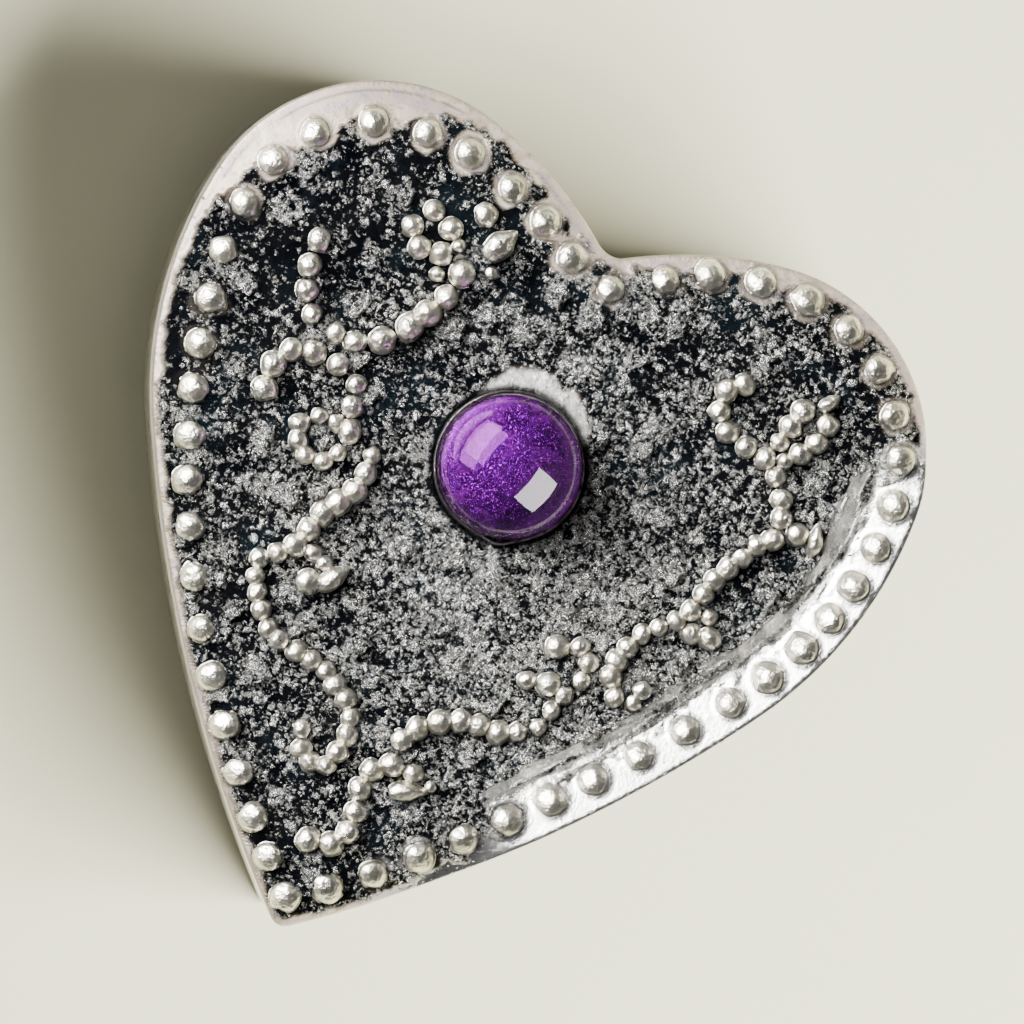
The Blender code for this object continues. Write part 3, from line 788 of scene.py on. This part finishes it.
def vine_places(count, knots, seed):
    """Beads strung evenly along a curve, each with a small error of its own."""
    rnd = np.random.default_rng(seed)
    path = smooth_curve(knots)
    lengths = running_lengths(path)
    places = []
    for distance in np.linspace(0.0, lengths[-1], count):
        distance = distance + rnd.uniform(-0.12, 0.12)
        u, v, radius = (np.interp(distance, lengths, path[:, k]) for k in range(3))
        off = rnd.uniform(-0.08, 0.08, 2)
        stretch = rnd.uniform(0.95, 1.06)
        radius = radius * rnd.uniform(0.93, 1.08)
        turn = rnd.uniform(0.0, 180.0)
        places.append((u + off[0], v + off[1], radius * stretch, radius / stretch, turn))
    return places


# Every small bead of the lid, by piece: (u, v, radius along, radius across, turn).
SMALL_BEADS = {name: vine_places(count, knots, 60 + index)
               for index, (name, (count, knots)) in enumerate(VINES.items())}
SMALL_BEADS.update(LEAVES)


def add_border():
    metal = bead_material("border_bead_silver")
    for side, places, seed in (("left", LEFT_PLACES, 21), ("right", RIGHT_PLACES, 22)):
        beads = Beads(seed)
        for u, v, radius, spot, inward in places:
            slope = float(lid_slope(*spot))
            lean = (inward[0] * slope, inward[1] * slope)
            beads.add(u, v, radius, height=float(lid_height(*spot)) + 0.02, lean=lean)
        piece = beads.piece(f"border_bead_domes_{side}", metal)
        settle(piece, "lid", "bright_silver", f"border_beads_{side}")


def add_vines():
    metal = bead_material("vine_bead_silver", bright=(0.97, 0.94, 0.84), dull=(0.70, 0.66, 0.54))
    for index, (name, places) in enumerate(SMALL_BEADS.items()):
        beads = Beads(40 + index)
        for u, v, along, across, turn in places:
            beads.add(u, v, along, across, turn, height=PLATE_TOP + 0.05, tall=1.12)
        settle(beads.piece(name + "_beads", metal), "lid", "bright_silver", name)


# ---------------------------------------------------------------------------------------------
# The lid's skin
# ---------------------------------------------------------------------------------------------
def polished_band(u, v, inset, share):
    """How far the smooth, worn band inside the edge covers each point."""
    ragged = 1.3 * (layered_noise(u, v, 1.6, 1) - 0.5) + 0.8 * (layered_noise(u, v, 0.6, 71) - 0.5)
    shares, widths = np.array(SMOOTH_BAND).T
    waver = 0.9 * facet_weight(share) * (layered_noise(u, v, 2.6, 91) - 0.35)
    band = np.interp(share, shares, widths) + waver
    return ramp(band + ragged * np.clip(band, 0.5, 1.4) - inset, -0.12, 0.18)


def flowed_metal(u, v, ring):
    """Bright metal that flowed round the setting, on its cleft side."""
    angle = np.degrees(np.arctan2(v - GEM_V, u))
    flow = np.clip(1.0 - np.abs((angle - FLOW_TURN) / FLOW_REACH) ** 2, 0.0, 1.0) * FLOW_WIDTH
    return ramp(flow + 1.3 * (layered_noise(u, v, 0.9, 3) - 0.5) - ring, -0.2, 0.5) * (flow > 0)


def corner_painted_shade(u, v, gem):
    """Painted shade in the corners round the setting and round every small bead."""
    ragged = 0.25 * (layered_noise(u, v, 0.7, 41) - 0.5)
    painted_shade = 1.0 - ramp(np.abs(gem - GEM_RADIUS - 0.3) + ragged, 0.1, 0.45)
    for places in SMALL_BEADS.values():
        for bu, bv, along, across, _ in places:
            away = np.hypot(u - bu, v - bv) - 0.5 * (along + across)
            painted_shade = np.maximum(painted_shade, 0.8 * (1.0 - ramp(away, 0.02, 0.42)))
    return painted_shade


def border_feet(u, v):
    """(solder, height of its fillet, painted shade) at the feet of the border beads."""
    solder, fillet, painted_shade = np.zeros((3, len(u)))
    for bu, bv, radius, _, _ in LEFT_PLACES + RIGHT_PLACES:
        away = np.hypot(u - bu, v - bv)
        near = away < 3.0
        away = away[near]
        amount = 1.02 + 0.5 * value_noise(u[near], v[near], 0.9, 8)
        solder[near] = np.maximum(solder[near], ramp(radius * amount - away, -0.1, 0.15))
        fillet[near] = np.maximum(fillet[near], 0.08 * ramp(radius * 1.25 - away, 0.0, 0.25))
        # A ring of painted shade round each bead's foot.
        painted_shade[near] = np.maximum(painted_shade[near], 0.75 * (1.0 - ramp(away - radius, 0.02, 0.16)))
    return solder, fillet, painted_shade


def solder_amount(u, v, share):
    """How much of the solder shows: most at the upper left, some on the right lobe."""
    wet = ramp(value_noise(u, v, 5.0, 31), 0.45, 0.75)
    upper_left = between(share, 0.29, 0.33, 0.47, 0.52)
    right_lobe = between(share, 0.5, 0.56, 0.68, 0.72)
    return np.clip(0.2 * wet * ramp(share, 0.2, 0.3) + upper_left + 0.4 * right_lobe, 0.0, 1.0)


def facet_streaks(inset, share):
    """Streaks of bright metal that ran along the facet's inner side."""
    streaks = layered_noise(share * 30.0, inset, 0.45, 51, 2)
    return ramp(streaks * facet_weight(share) * between(inset, 2.4, 3.0, 4.2, 6.4), 0.36, 0.44)


def crumbs(u, v):
    """(relief, coarse grains, stray large grains) of the granular field."""
    stray, stray_own = grains(u, v, 1.7, 29)
    stray = stray * ramp(stray_own, 0.80, 0.84)
    coarse, coarse_own = grains(u, v, 0.62, 2)
    medium, medium_own = grains(u + 3.1, v + 1.7, 0.40, 7)
    relief = 0.15 * coarse * (0.35 + 0.65 * coarse_own) + 0.11 * medium * (0.3 + 0.7 * medium_own)
    relief += 0.16 * (layered_noise(u, v, 1.8, 13) - 0.5) + 0.30 * stray
    return relief, coarse, stray


def field_wear(points, inset, share, coarse, stray):
    """How bright the grains' tips are worn."""
    u, v = points.T
    middle = np.exp(-(((u - 3.0) / 13.0) ** 2 + ((v - 27.0) / 12.0) ** 2))
    patchy = layered_noise(u, v, 4.5, 23) - 0.5
    clumps = layered_noise(u, v, 1.3, 37) - 0.5
    wear = 0.17 + 0.38 * middle + 0.004 * u
    wear += 0.38 * patchy + 0.30 * (coarse - 0.5) + 0.6 * clumps + 0.6 * stray
    wear += 0.55 * facet_weight(share) * (1.0 - ramp(inset, 4.2, 6.5))
    return np.clip(wear, 0.02, 1.0)


def rim_marks(inset, share):
    """(stains along the rim, a fine dark line of painted shade in the crease where the rim was rolled
    over).
    """
    along = share * OUTLINE_LENGTH
    stain = ramp(layered_noise(along / 5.0, inset / 0.7, 1.0, 81, 4), 0.42, 0.62)
    # A fine dark line of painted shade in the rim's crease, on the left side, where it is stained.
    crease_shade = np.exp(-((inset - 0.62 - 0.12 * value_noise(along, inset, 3.0, 83)) / 0.09) ** 2)
    return stain, crease_shade * between(share, 0.2, 0.27, 0.44, 0.5) * ramp(stain, 0.1, 0.6)


def skin_relief(points, inset, share):
    """(height, attributes) of the lid's top at (u, v) points."""
    u, v = points.T
    gem = np.hypot(u, v - GEM_V)
    ring = gem - (GEM_RADIUS + 0.4)
    flowed = flowed_metal(u, v, ring)
    streaks = facet_streaks(inset, share)
    solder, fillet, painted_shade = border_feet(u, v)
    solder *= solder_amount(u, v, share)
    smooth = np.maximum.reduce([polished_band(u, v, inset, share), 0.6 * flowed, solder * 0.9,
                                0.9 * streaks])
    smooth = np.clip(smooth, 0.0, 1.0)

    relief, coarse, stray = crumbs(u, v)
    swell = layered_noise(u, v, 2.2, 19) - 0.5
    height = lid_height(inset, share) + relief * (1.0 - smooth) + smooth * (0.07 + 0.07 * swell) + fillet
    height += 0.38 * np.exp(-np.clip(ring, 0.0, None) / 1.1) * (1.0 + 0.3 * flowed)
    height += 0.35 * np.maximum(flowed, streaks) * (layered_noise(u, v, 0.7, 61) - 0.5)
    height -= 0.10
    # Under the stone the skin is flat, below the foil.
    height = np.where(gem < GEM_RADIUS + 0.2, PLATE_TOP - 0.1, height)

    stain, crease_shade = rim_marks(inset, share)
    # Painted shade at the beads' feet, round the setting and in the rim's crease.
    painted_shade = np.maximum.reduce([painted_shade, corner_painted_shade(u, v, gem), 0.7 * crease_shade])
    matt = (1.0 - between(share, 0.655, 0.675, 0.94, 0.97)) * (1.0 - 0.8 * flowed)
    return height, {"smooth": smooth, "wear": field_wear(points, inset, share, coarse, stray),
                    "painted_shade": np.clip(painted_shade, 0.0, 1.0), "matt": matt, "stain": stain}


def unit_rows(rows):
    return rows / np.maximum(np.hypot(*rows.T), 1e-6)[:, None]


def skin_grid():
    """(points, insets, outline shares, quads) of a fine grid that ends where the edge rolls over."""
    reach = OUTLINE[:, 0].max() + 0.5
    grid_u, grid_v = np.meshgrid(np.arange(-reach, reach, SKIN_PITCH),
                                 np.arange(-0.5, OUTLINE[:, 1].max() + 0.5, SKIN_PITCH))
    points = np.column_stack([grid_u.ravel(), grid_v.ravel()])
    inset, share, foot = nearest_on_outline(points)
    inside = inside_outline(points)
    keep = inside & (inset > EDGE_ROUND + 0.45 * SKIN_PITCH)
    corner = np.arange(len(points)).reshape(grid_u.shape)
    quads = np.stack([corner[:-1, :-1], corner[:-1, 1:], corner[1:, 1:], corner[1:, :-1]], -1)
    quads = quads.reshape(-1, 4)
    quads = quads[keep[quads].sum(1) >= 3]
    # A corner outside the kept ones moves onto the line where the edge starts to roll over.
    used = np.unique(quads)
    edge = used[~keep[used]]
    inward = unit_rows(points[edge] - foot[edge])
    inward[~inside[edge]] *= -1.0
    points[edge] = foot[edge] + inward * EDGE_ROUND
    inset[edge] = EDGE_ROUND
    number = np.full(len(points), -1)
    number[used] = np.arange(len(used))
    return points[used], inset[used], share[used], number[quads]


def border_loop(quads):
    """The corners round a patch of quads, in walking order."""
    pairs = {(quad[k], quad[(k + 1) % 4]) for quad in quads.tolist() for k in range(4)}
    after = {a: b for a, b in pairs if (b, a) not in pairs}
    loop = [min(after)]
    while after[loop[-1]] != loop[0]:
        loop.append(after[loop[-1]])
    return loop


def add_skin():
    """One closed body: a fine grid on top, an edge rolled down to the skirt, and a flat underside."""
    points, inset, share, quads = skin_grid()
    height, attributes = skin_relief(points, inset, share)
    loop = border_loop(quads)
    _, rim_share, foot = nearest_on_outline(points[loop])
    inward = unit_rows(points[loop] - foot)
    worn = 0.5 * (height[loop] + lid_height(EDGE_ROUND, rim_share))
    skirt_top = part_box("lid_skirt_left")[1].z / MM
    levels = [(EDGE_ROUND * left, worn + drop) for left, drop in EDGE_DROPS]
    levels += [(inward_by, np.full(len(loop), skirt_top + above)) for inward_by, above in SKIN_FOOT]
    rows = [np.column_stack([foot + inward * inward_by, level]) for inward_by, level in levels]

    faces = quads.tolist()
    above = loop
    for start in range(len(points), len(points) + len(rows) * len(loop), len(loop)):
        below = list(range(start, start + len(loop)))
        faces += flipped(ring_faces(above, below))
        above = below
    faces.append(above[::-1])
    layers = {key: np.concatenate([attributes[key], np.full(len(rows) * len(loop), value)])
              for key, value in RIM_ATTRIBUTES.items()}
    layers["matt"] = np.concatenate([attributes["matt"]] + [attributes["matt"][loop]] * len(rows))
    every = np.vstack([np.column_stack([points, height])] + rows)
    skin = make_piece("lid_top_skin", every, faces, skin_material(), layers)
    settle(skin, "lid", "oxidised_silver", "lid_plate")


# ---------------------------------------------------------------------------------------------
# Walls
# ---------------------------------------------------------------------------------------------
def rounded_wall(outer, inner, bottom, top, radius):
    """Closed section of a wall as (inset, height) points, with its four edges rounded."""
    corners = ((outer, bottom, 1, 1, 180.0), (inner, bottom, -1, 1, 270.0),
               (inner, top, -1, -1, 0.0), (outer, top, 1, -1, 90.0))
    section = []
    for inset, height, du, dv, start in corners:
        for step in range(5):
            angle = math.radians(start + 90.0 * step / 4.0)
            section.append((inset + radius * (du + math.cos(angle)),
                            height + radius * (dv + math.sin(angle))))
    return section


def half_wall(side, section):
    """A strip of that section from tip to cleft, on one side of the axis."""
    loops = {inset: half_loop(inset, WALL_STEPS) for inset, _ in section}
    rows = np.array([(side * loops[inset][step][0], loops[inset][step][1], height)
                     for step in range(WALL_STEPS + 1) for inset, height in section])
    rows[:, 0] = np.where(np.abs(rows[:, 0]) < AXIS_GAP, AXIS_GAP * side, rows[:, 0])
    return rows, stacked_faces(WALL_STEPS + 1, len(section), outward=side < 0)


def add_wall_pair(node, piece, body, slot, material, thickness, radius):
    """Both strips of a wall, which stand for the node's two solids."""
    outer = outer_inset(node)
    low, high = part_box(node + "_left")
    section = rounded_wall(outer, outer + thickness, low.z / MM, high.z / MM, radius)
    for suffix, side in (("left", -1.0), ("right", 1.0)):
        rows, faces = half_wall(side, section)
        wall = make_piece(f"{piece}_{suffix}", rows, faces, material, sharp=50.0)
        settle(wall, body, slot, f"{node}_{suffix}")


def outer_inset(node):
    """How far a CAD wall's outer face stands inside the outline, across its widest place."""
    return OUTLINE[:, 0].max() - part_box(node + "_right")[1].x / MM


def add_walls():
    outside = wall_material("worn_silver", (0.86, 0.84, 0.79), (0.60, 0.57, 0.51), 0.5)
    inside = wall_material("clean_silver", (0.90, 0.89, 0.86), (0.74, 0.72, 0.68), 0.35)
    add_wall_pair("lid_skirt", "lid_side_band", "lid", "brushed_silver", outside, 0.85, 0.14)
    add_wall_pair("base_wall", "base_side_band", "base", "brushed_silver", outside, 1.0, 0.16)
    add_wall_pair("base_collar", "locating_collar", "base", "bright_silver", inside, 0.7, 0.16)
    add_floor_plate(outside, outer_inset("base_wall"))


def heart_body(name, levels, material):
    """A closed heart-shaped body through (inset, height) levels, from the underside up."""
    rows = []
    for inset, height in levels:
        loop = whole_loop(inset, WALL_STEPS)
        rows.append(np.column_stack([loop, np.full(len(loop), height)]))
    faces = stacked_faces(len(rows), len(rows[0]), outward=False)
    return make_piece(name, np.vstack(rows), faces, material, sharp=50.0)


def add_floor_plate(material, inset):
    low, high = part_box("base_floor_plate")
    bottom, top = low.z / MM, high.z / MM
    levels = ((inset + 0.35, bottom), (inset + 0.1, bottom + 0.07), (inset, bottom + 0.3),
              (inset, top - 0.12), (inset + 0.12, top))
    plate = heart_body("base_underside", levels, material)
    settle(plate, "base", "brushed_silver", "base_floor_plate")


# ---------------------------------------------------------------------------------------------
# The stone
# ---------------------------------------------------------------------------------------------
def turned_piece(name, profile, material, ring=False, shape=None, attributes=None):
    """A piece turned round the stone's axis: a solid, or a ring whose profile closes on itself."""
    turns = np.linspace(0.0, 2.0 * math.pi, GEM_SEGMENTS, endpoint=False)
    reach = np.array([shape(turn) if shape else 1.0 for turn in turns])
    rows = [np.column_stack([radius * reach * np.cos(turns), GEM_V + radius * reach * np.sin(turns),
                             np.full(GEM_SEGMENTS, height)]) for radius, height in profile]
    faces = stacked_faces(len(profile), GEM_SEGMENTS)
    if ring:
        last = (len(profile) - 1) * GEM_SEGMENTS
        faces[-2:] = ring_faces(list(range(last, last + GEM_SEGMENTS)), list(range(GEM_SEGMENTS)))
    return make_piece(name, np.vstack(rows), faces, material, attributes, sharp=60.0 if ring else None)


def stone_shape(angle):
    """The hand-bent bezel: slightly out of round, with a small point towards the heart's tip."""
    away = math.degrees(angle) - 288.0
    point = 0.055 * math.exp(-(away / 11.0) ** 2)
    return 1.0 + 0.008 * math.cos(2 * angle + 0.6) + 0.005 * math.cos(3 * angle + 1.0) + point


def add_stone():
    heights = {node: [corner.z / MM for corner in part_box(node)]
               for node in ("gem_bezel", "gem_foil", "gem_cabochon")}
    bottom, top = heights["gem_bezel"]
    bezel = ((0.04, bottom), (0.22, bottom), (0.14, top - 0.2), (0.11, top - 0.04), (0.07, top),
             (0.03, top - 0.04), (0.02, top - 0.25))
    metal = bead_material("bezel_silver", bright=(0.34, 0.33, 0.31), dull=(0.03, 0.03, 0.03))
    piece = turned_piece("gem_bezel_ring", [(GEM_RADIUS + out, height) for out, height in bezel], metal,
                         True, stone_shape)
    settle(piece, "lid", "bright_silver", "gem_bezel")
    add_foil(*heights["gem_foil"])

    bottom, top = heights["gem_cabochon"]
    girdle = bottom + 0.45
    stone = [(GEM_RADIUS - 0.25, bottom), (GEM_RADIUS - 0.02, bottom + 0.12)]
    for angle in np.linspace(0.0, 0.5 * math.pi, 28, endpoint=False):
        stone.append(((GEM_RADIUS - 0.01) * math.cos(angle), girdle + (top - girdle) * math.sin(angle)))
    glass = turned_piece("gem_stone", stone, stone_material())
    settle(glass, "lid", "violet_glass", "gem_cabochon")


def add_foil(bottom, top):
    """The foil bulges a little under the stone and falls away towards its pleated rim."""
    reach = GEM_RADIUS - 0.05
    dish = [(reach, bottom)]
    for share in np.linspace(1.0, 0.0, 26, endpoint=False):
        dish.append((reach * share, top - 0.45 * (top - bottom) * share ** 2.5))
    shares = [radius / GEM_RADIUS for radius, _ in dish]
    own = [float(hashed(np.float64(step // 2), 1.0, 5)) for step in range(GEM_SEGMENTS)]
    rims = [float(ramp(share, 0.50, 0.95)) for share in shares for _ in own]
    pleats = [depth * max(0.0, share - 0.45) / 0.55 for share in shares for depth in own]
    foil = turned_piece("gem_foil_dish", dish, foil_material(), attributes={"pleat": pleats, "rim": rims})
    settle(foil, "lid", "violet_foil", "gem_foil")


# ---------------------------------------------------------------------------------------------
# Linings
# ---------------------------------------------------------------------------------------------
def crowned_pad(name, node, crown_up, material):
    """A heart-shaped pad whose face swells in the middle and pinches in at its edge."""
    low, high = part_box(node)
    bottom, top = low.z / MM, high.z / MM
    thickness = top - bottom
    edge = OUTLINE[:, 0].max() - high.x / MM
    profile = [(edge + 0.35, 0.0), (edge + 0.08, thickness * 0.12), (edge, thickness * 0.27)]
    for share in np.linspace(0.0, 1.0, 26):
        rise = 1.0 - (1.0 - min(1.0, share * 3.2)) ** 2.4
        profile.append((edge + 0.05 + PAD_REACH * share ** 1.6, thickness * (0.42 + 0.58 * rise)))
    deepest = edge + 0.05 + PAD_REACH
    rows = []
    for inset, rise in profile:
        loop = whole_loop(min(inset, PAD_INSET), PAD_STEPS)
        if inset > PAD_INSET:
            # Past that inset the loops shrink towards a point in the middle.
            shrink = 1.0 - (inset - PAD_INSET) / (deepest - PAD_INSET) * 0.98
            loop = PAD_CENTRE + (loop - PAD_CENTRE) * max(0.02, shrink)
        ripple = 0.1 * (layered_noise(loop[:, 0], loop[:, 1], 3.5, 44) - 0.5) * min(1.0, rise / thickness)
        lift = rise + ripple
        rows.append(np.column_stack([loop, bottom + lift if crown_up else top - lift]))
    faces = stacked_faces(len(rows), len(rows[0]), outward=not crown_up)
    return make_piece(name, np.vstack(rows), faces, material)


def add_linings():
    velvet = velvet_material()
    pad = crowned_pad("base_velvet_cushion", "base_velvet_pad", True, velvet)
    settle(pad, "base", "velvet", "base_velvet_pad")
    lid_pad = crowned_pad("lid_velvet_cushion", "lid_velvet_pad", False, velvet)
    settle(lid_pad, "lid", "velvet", "lid_velvet_pad")
    low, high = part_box("base_velvet_wall_left")
    outer = outer_inset("base_velvet_wall")
    section = rounded_wall(outer, outer + 0.5, low.z / MM, high.z / MM, 0.2)
    length = running_lengths(half_loop(outer, WALL_STEPS))[-1] * MM
    for suffix, side in (("left", -1.0), ("right", 1.0)):
        rows, faces = half_wall(side, section)
        lining = make_piece(f"velvet_wall_lining_{suffix}", rows, faces, velvet)
        settle(lining, "base", "velvet", f"base_velvet_wall_{suffix}")
    card = card_material()
    for node in ("base_lining_card", "lid_lining_card"):
        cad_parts[node].data.materials.clear()
        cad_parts[node].data.materials.append(card)


# ---------------------------------------------------------------------------------------------
# Stage, light and camera
# ---------------------------------------------------------------------------------------------
def picture_axes():
    """World directions of the picture's right and up, for a camera straight above."""
    turn = math.radians(HEART_TURN)
    return Vector((math.cos(turn), math.sin(turn), 0.0)), Vector((-math.sin(turn), math.cos(turn), 0.0))


def add_camera():
    right, up = picture_axes()
    target = Vector((VIEW_CENTRE[0], VIEW_CENTRE[1] - MIDDLE, PLATE_TOP)) * MM
    lean, turn = math.radians(CAMERA_LEAN), math.radians(CAMERA_LEAN_TURN)
    sideways = right * math.cos(turn) + up * math.sin(turn)
    back = (sideways * math.sin(lean) + Vector((0.0, 0.0, math.cos(lean)))).normalized()
    across = (right - back * right.dot(back)).normalized()
    data = bpy.data.cameras.new("photo_camera")
    data.sensor_width = SENSOR
    data.lens = SENSOR * CAMERA_DISTANCE / VIEW_WIDTH
    data.clip_start, data.clip_end = 0.01, 10.0
    camera = bpy.data.objects.new("photo_camera", data)
    turned = Matrix((across, back.cross(across), back)).transposed()
    camera.matrix_world = Matrix.Translation(target + back * CAMERA_DISTANCE * MM) @ turned.to_4x4()
    bpy.context.scene.collection.objects.link(camera)
    bpy.context.scene.camera = camera


def add_softbox(name):
    """A panel of LIGHTS, which faces the box."""
    picture_turn, from_top, distance, size, power, colour = LIGHTS[name]
    right, up = picture_axes()
    turn, tip = math.radians(picture_turn), math.radians(from_top)
    way = (right * math.cos(turn) + up * math.sin(turn)) * math.sin(tip) + Vector((0, 0, math.cos(tip)))
    data = bpy.data.lights.new(name, "AREA")
    data.shape = "RECTANGLE"
    data.size, data.size_y = size
    data.energy = power
    data.color = colour
    lamp = bpy.data.objects.new(name, data)
    lamp.location = Vector(LIGHT_TARGET) + way * distance
    lamp.rotation_euler = way.to_track_quat("Z", "Y").to_euler()
    bpy.context.scene.collection.objects.link(lamp)
    return lamp


def add_floor():
    corners = [(-FLOOR_REACH, -FLOOR_REACH, 0), (FLOOR_REACH, -FLOOR_REACH, 0),
               (FLOOR_REACH, FLOOR_REACH, 0), (-FLOOR_REACH, FLOOR_REACH, 0)]
    mesh = bpy.data.meshes.new("pale_floor")
    mesh.from_pydata(corners, [], [(0, 1, 2, 3)])
    mesh.materials.append(floor_material())
    floor = bpy.data.objects.new("pale_floor", mesh)
    floor.location.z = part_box("base_floor_plate")[0].z - FLOOR_GAP
    bpy.context.scene.collection.objects.link(floor)
    return floor


def add_stage():
    """The floor, the room and the lights. In the photo the floor's soft light comes from the lower
    right, the metal's shine from the upper left, and the stone mirrors a window at the lower right."""
    floor = add_floor()
    add_room()
    add_softbox("key_window").visible_glossy = False
    add_softbox("shadow_fill").visible_glossy = False
    shine = add_softbox("shine_panel")
    shine.visible_diffuse = False
    pane = add_softbox("stone_window")
    pane.visible_diffuse = False
    stone_pieces = [bpy.data.objects["gem_stone"], bpy.data.objects["gem_foil_dish"]]
    light_only(pane, stone_pieces)
    light_only(shine, [obj for obj in bpy.context.scene.objects
                       if obj.type == "MESH" and obj not in stone_pieces and obj != floor
                       and not obj.name.startswith("base_")])


def light_only(lamp, pieces):
    """The lamp lights these pieces and nothing else."""
    lit = bpy.data.collections.new(lamp.name + "_pieces")
    for obj in pieces:
        lit.objects.link(obj)
    lamp.light_linking.receiver_collection = lit


def add_room():
    """A dim room with a paler band along its walls."""
    world = bpy.data.worlds.new("soft_room")
    world.use_nodes = True
    tree = world.node_tree
    place = tree.nodes.new("ShaderNodeTexCoord")
    split = tree.nodes.new("ShaderNodeSeparateXYZ")
    band = tree.nodes.new("ShaderNodeMapRange")
    band.interpolation_type = "SMOOTHSTEP"
    band.inputs["From Min"].default_value = 0.0
    band.inputs["From Max"].default_value = ROOM_BAND_TOP
    band.inputs["To Min"].default_value, band.inputs["To Max"].default_value = ROOM_STRENGTHS
    tree.links.new(place.outputs["Generated"], split.inputs["Vector"])
    tree.links.new(split.outputs["Z"], band.inputs["Value"])
    tree.links.new(band.outputs["Result"], tree.nodes["Background"].inputs["Strength"])
    tree.nodes["Background"].inputs["Color"].default_value = ROOM_COLOUR
    bpy.context.scene.world = world
    world.cycles_visibility.diffuse = False


add_skin()
add_border()
add_vines()
add_stone()
add_walls()
add_linings()
add_stage()
add_camera()
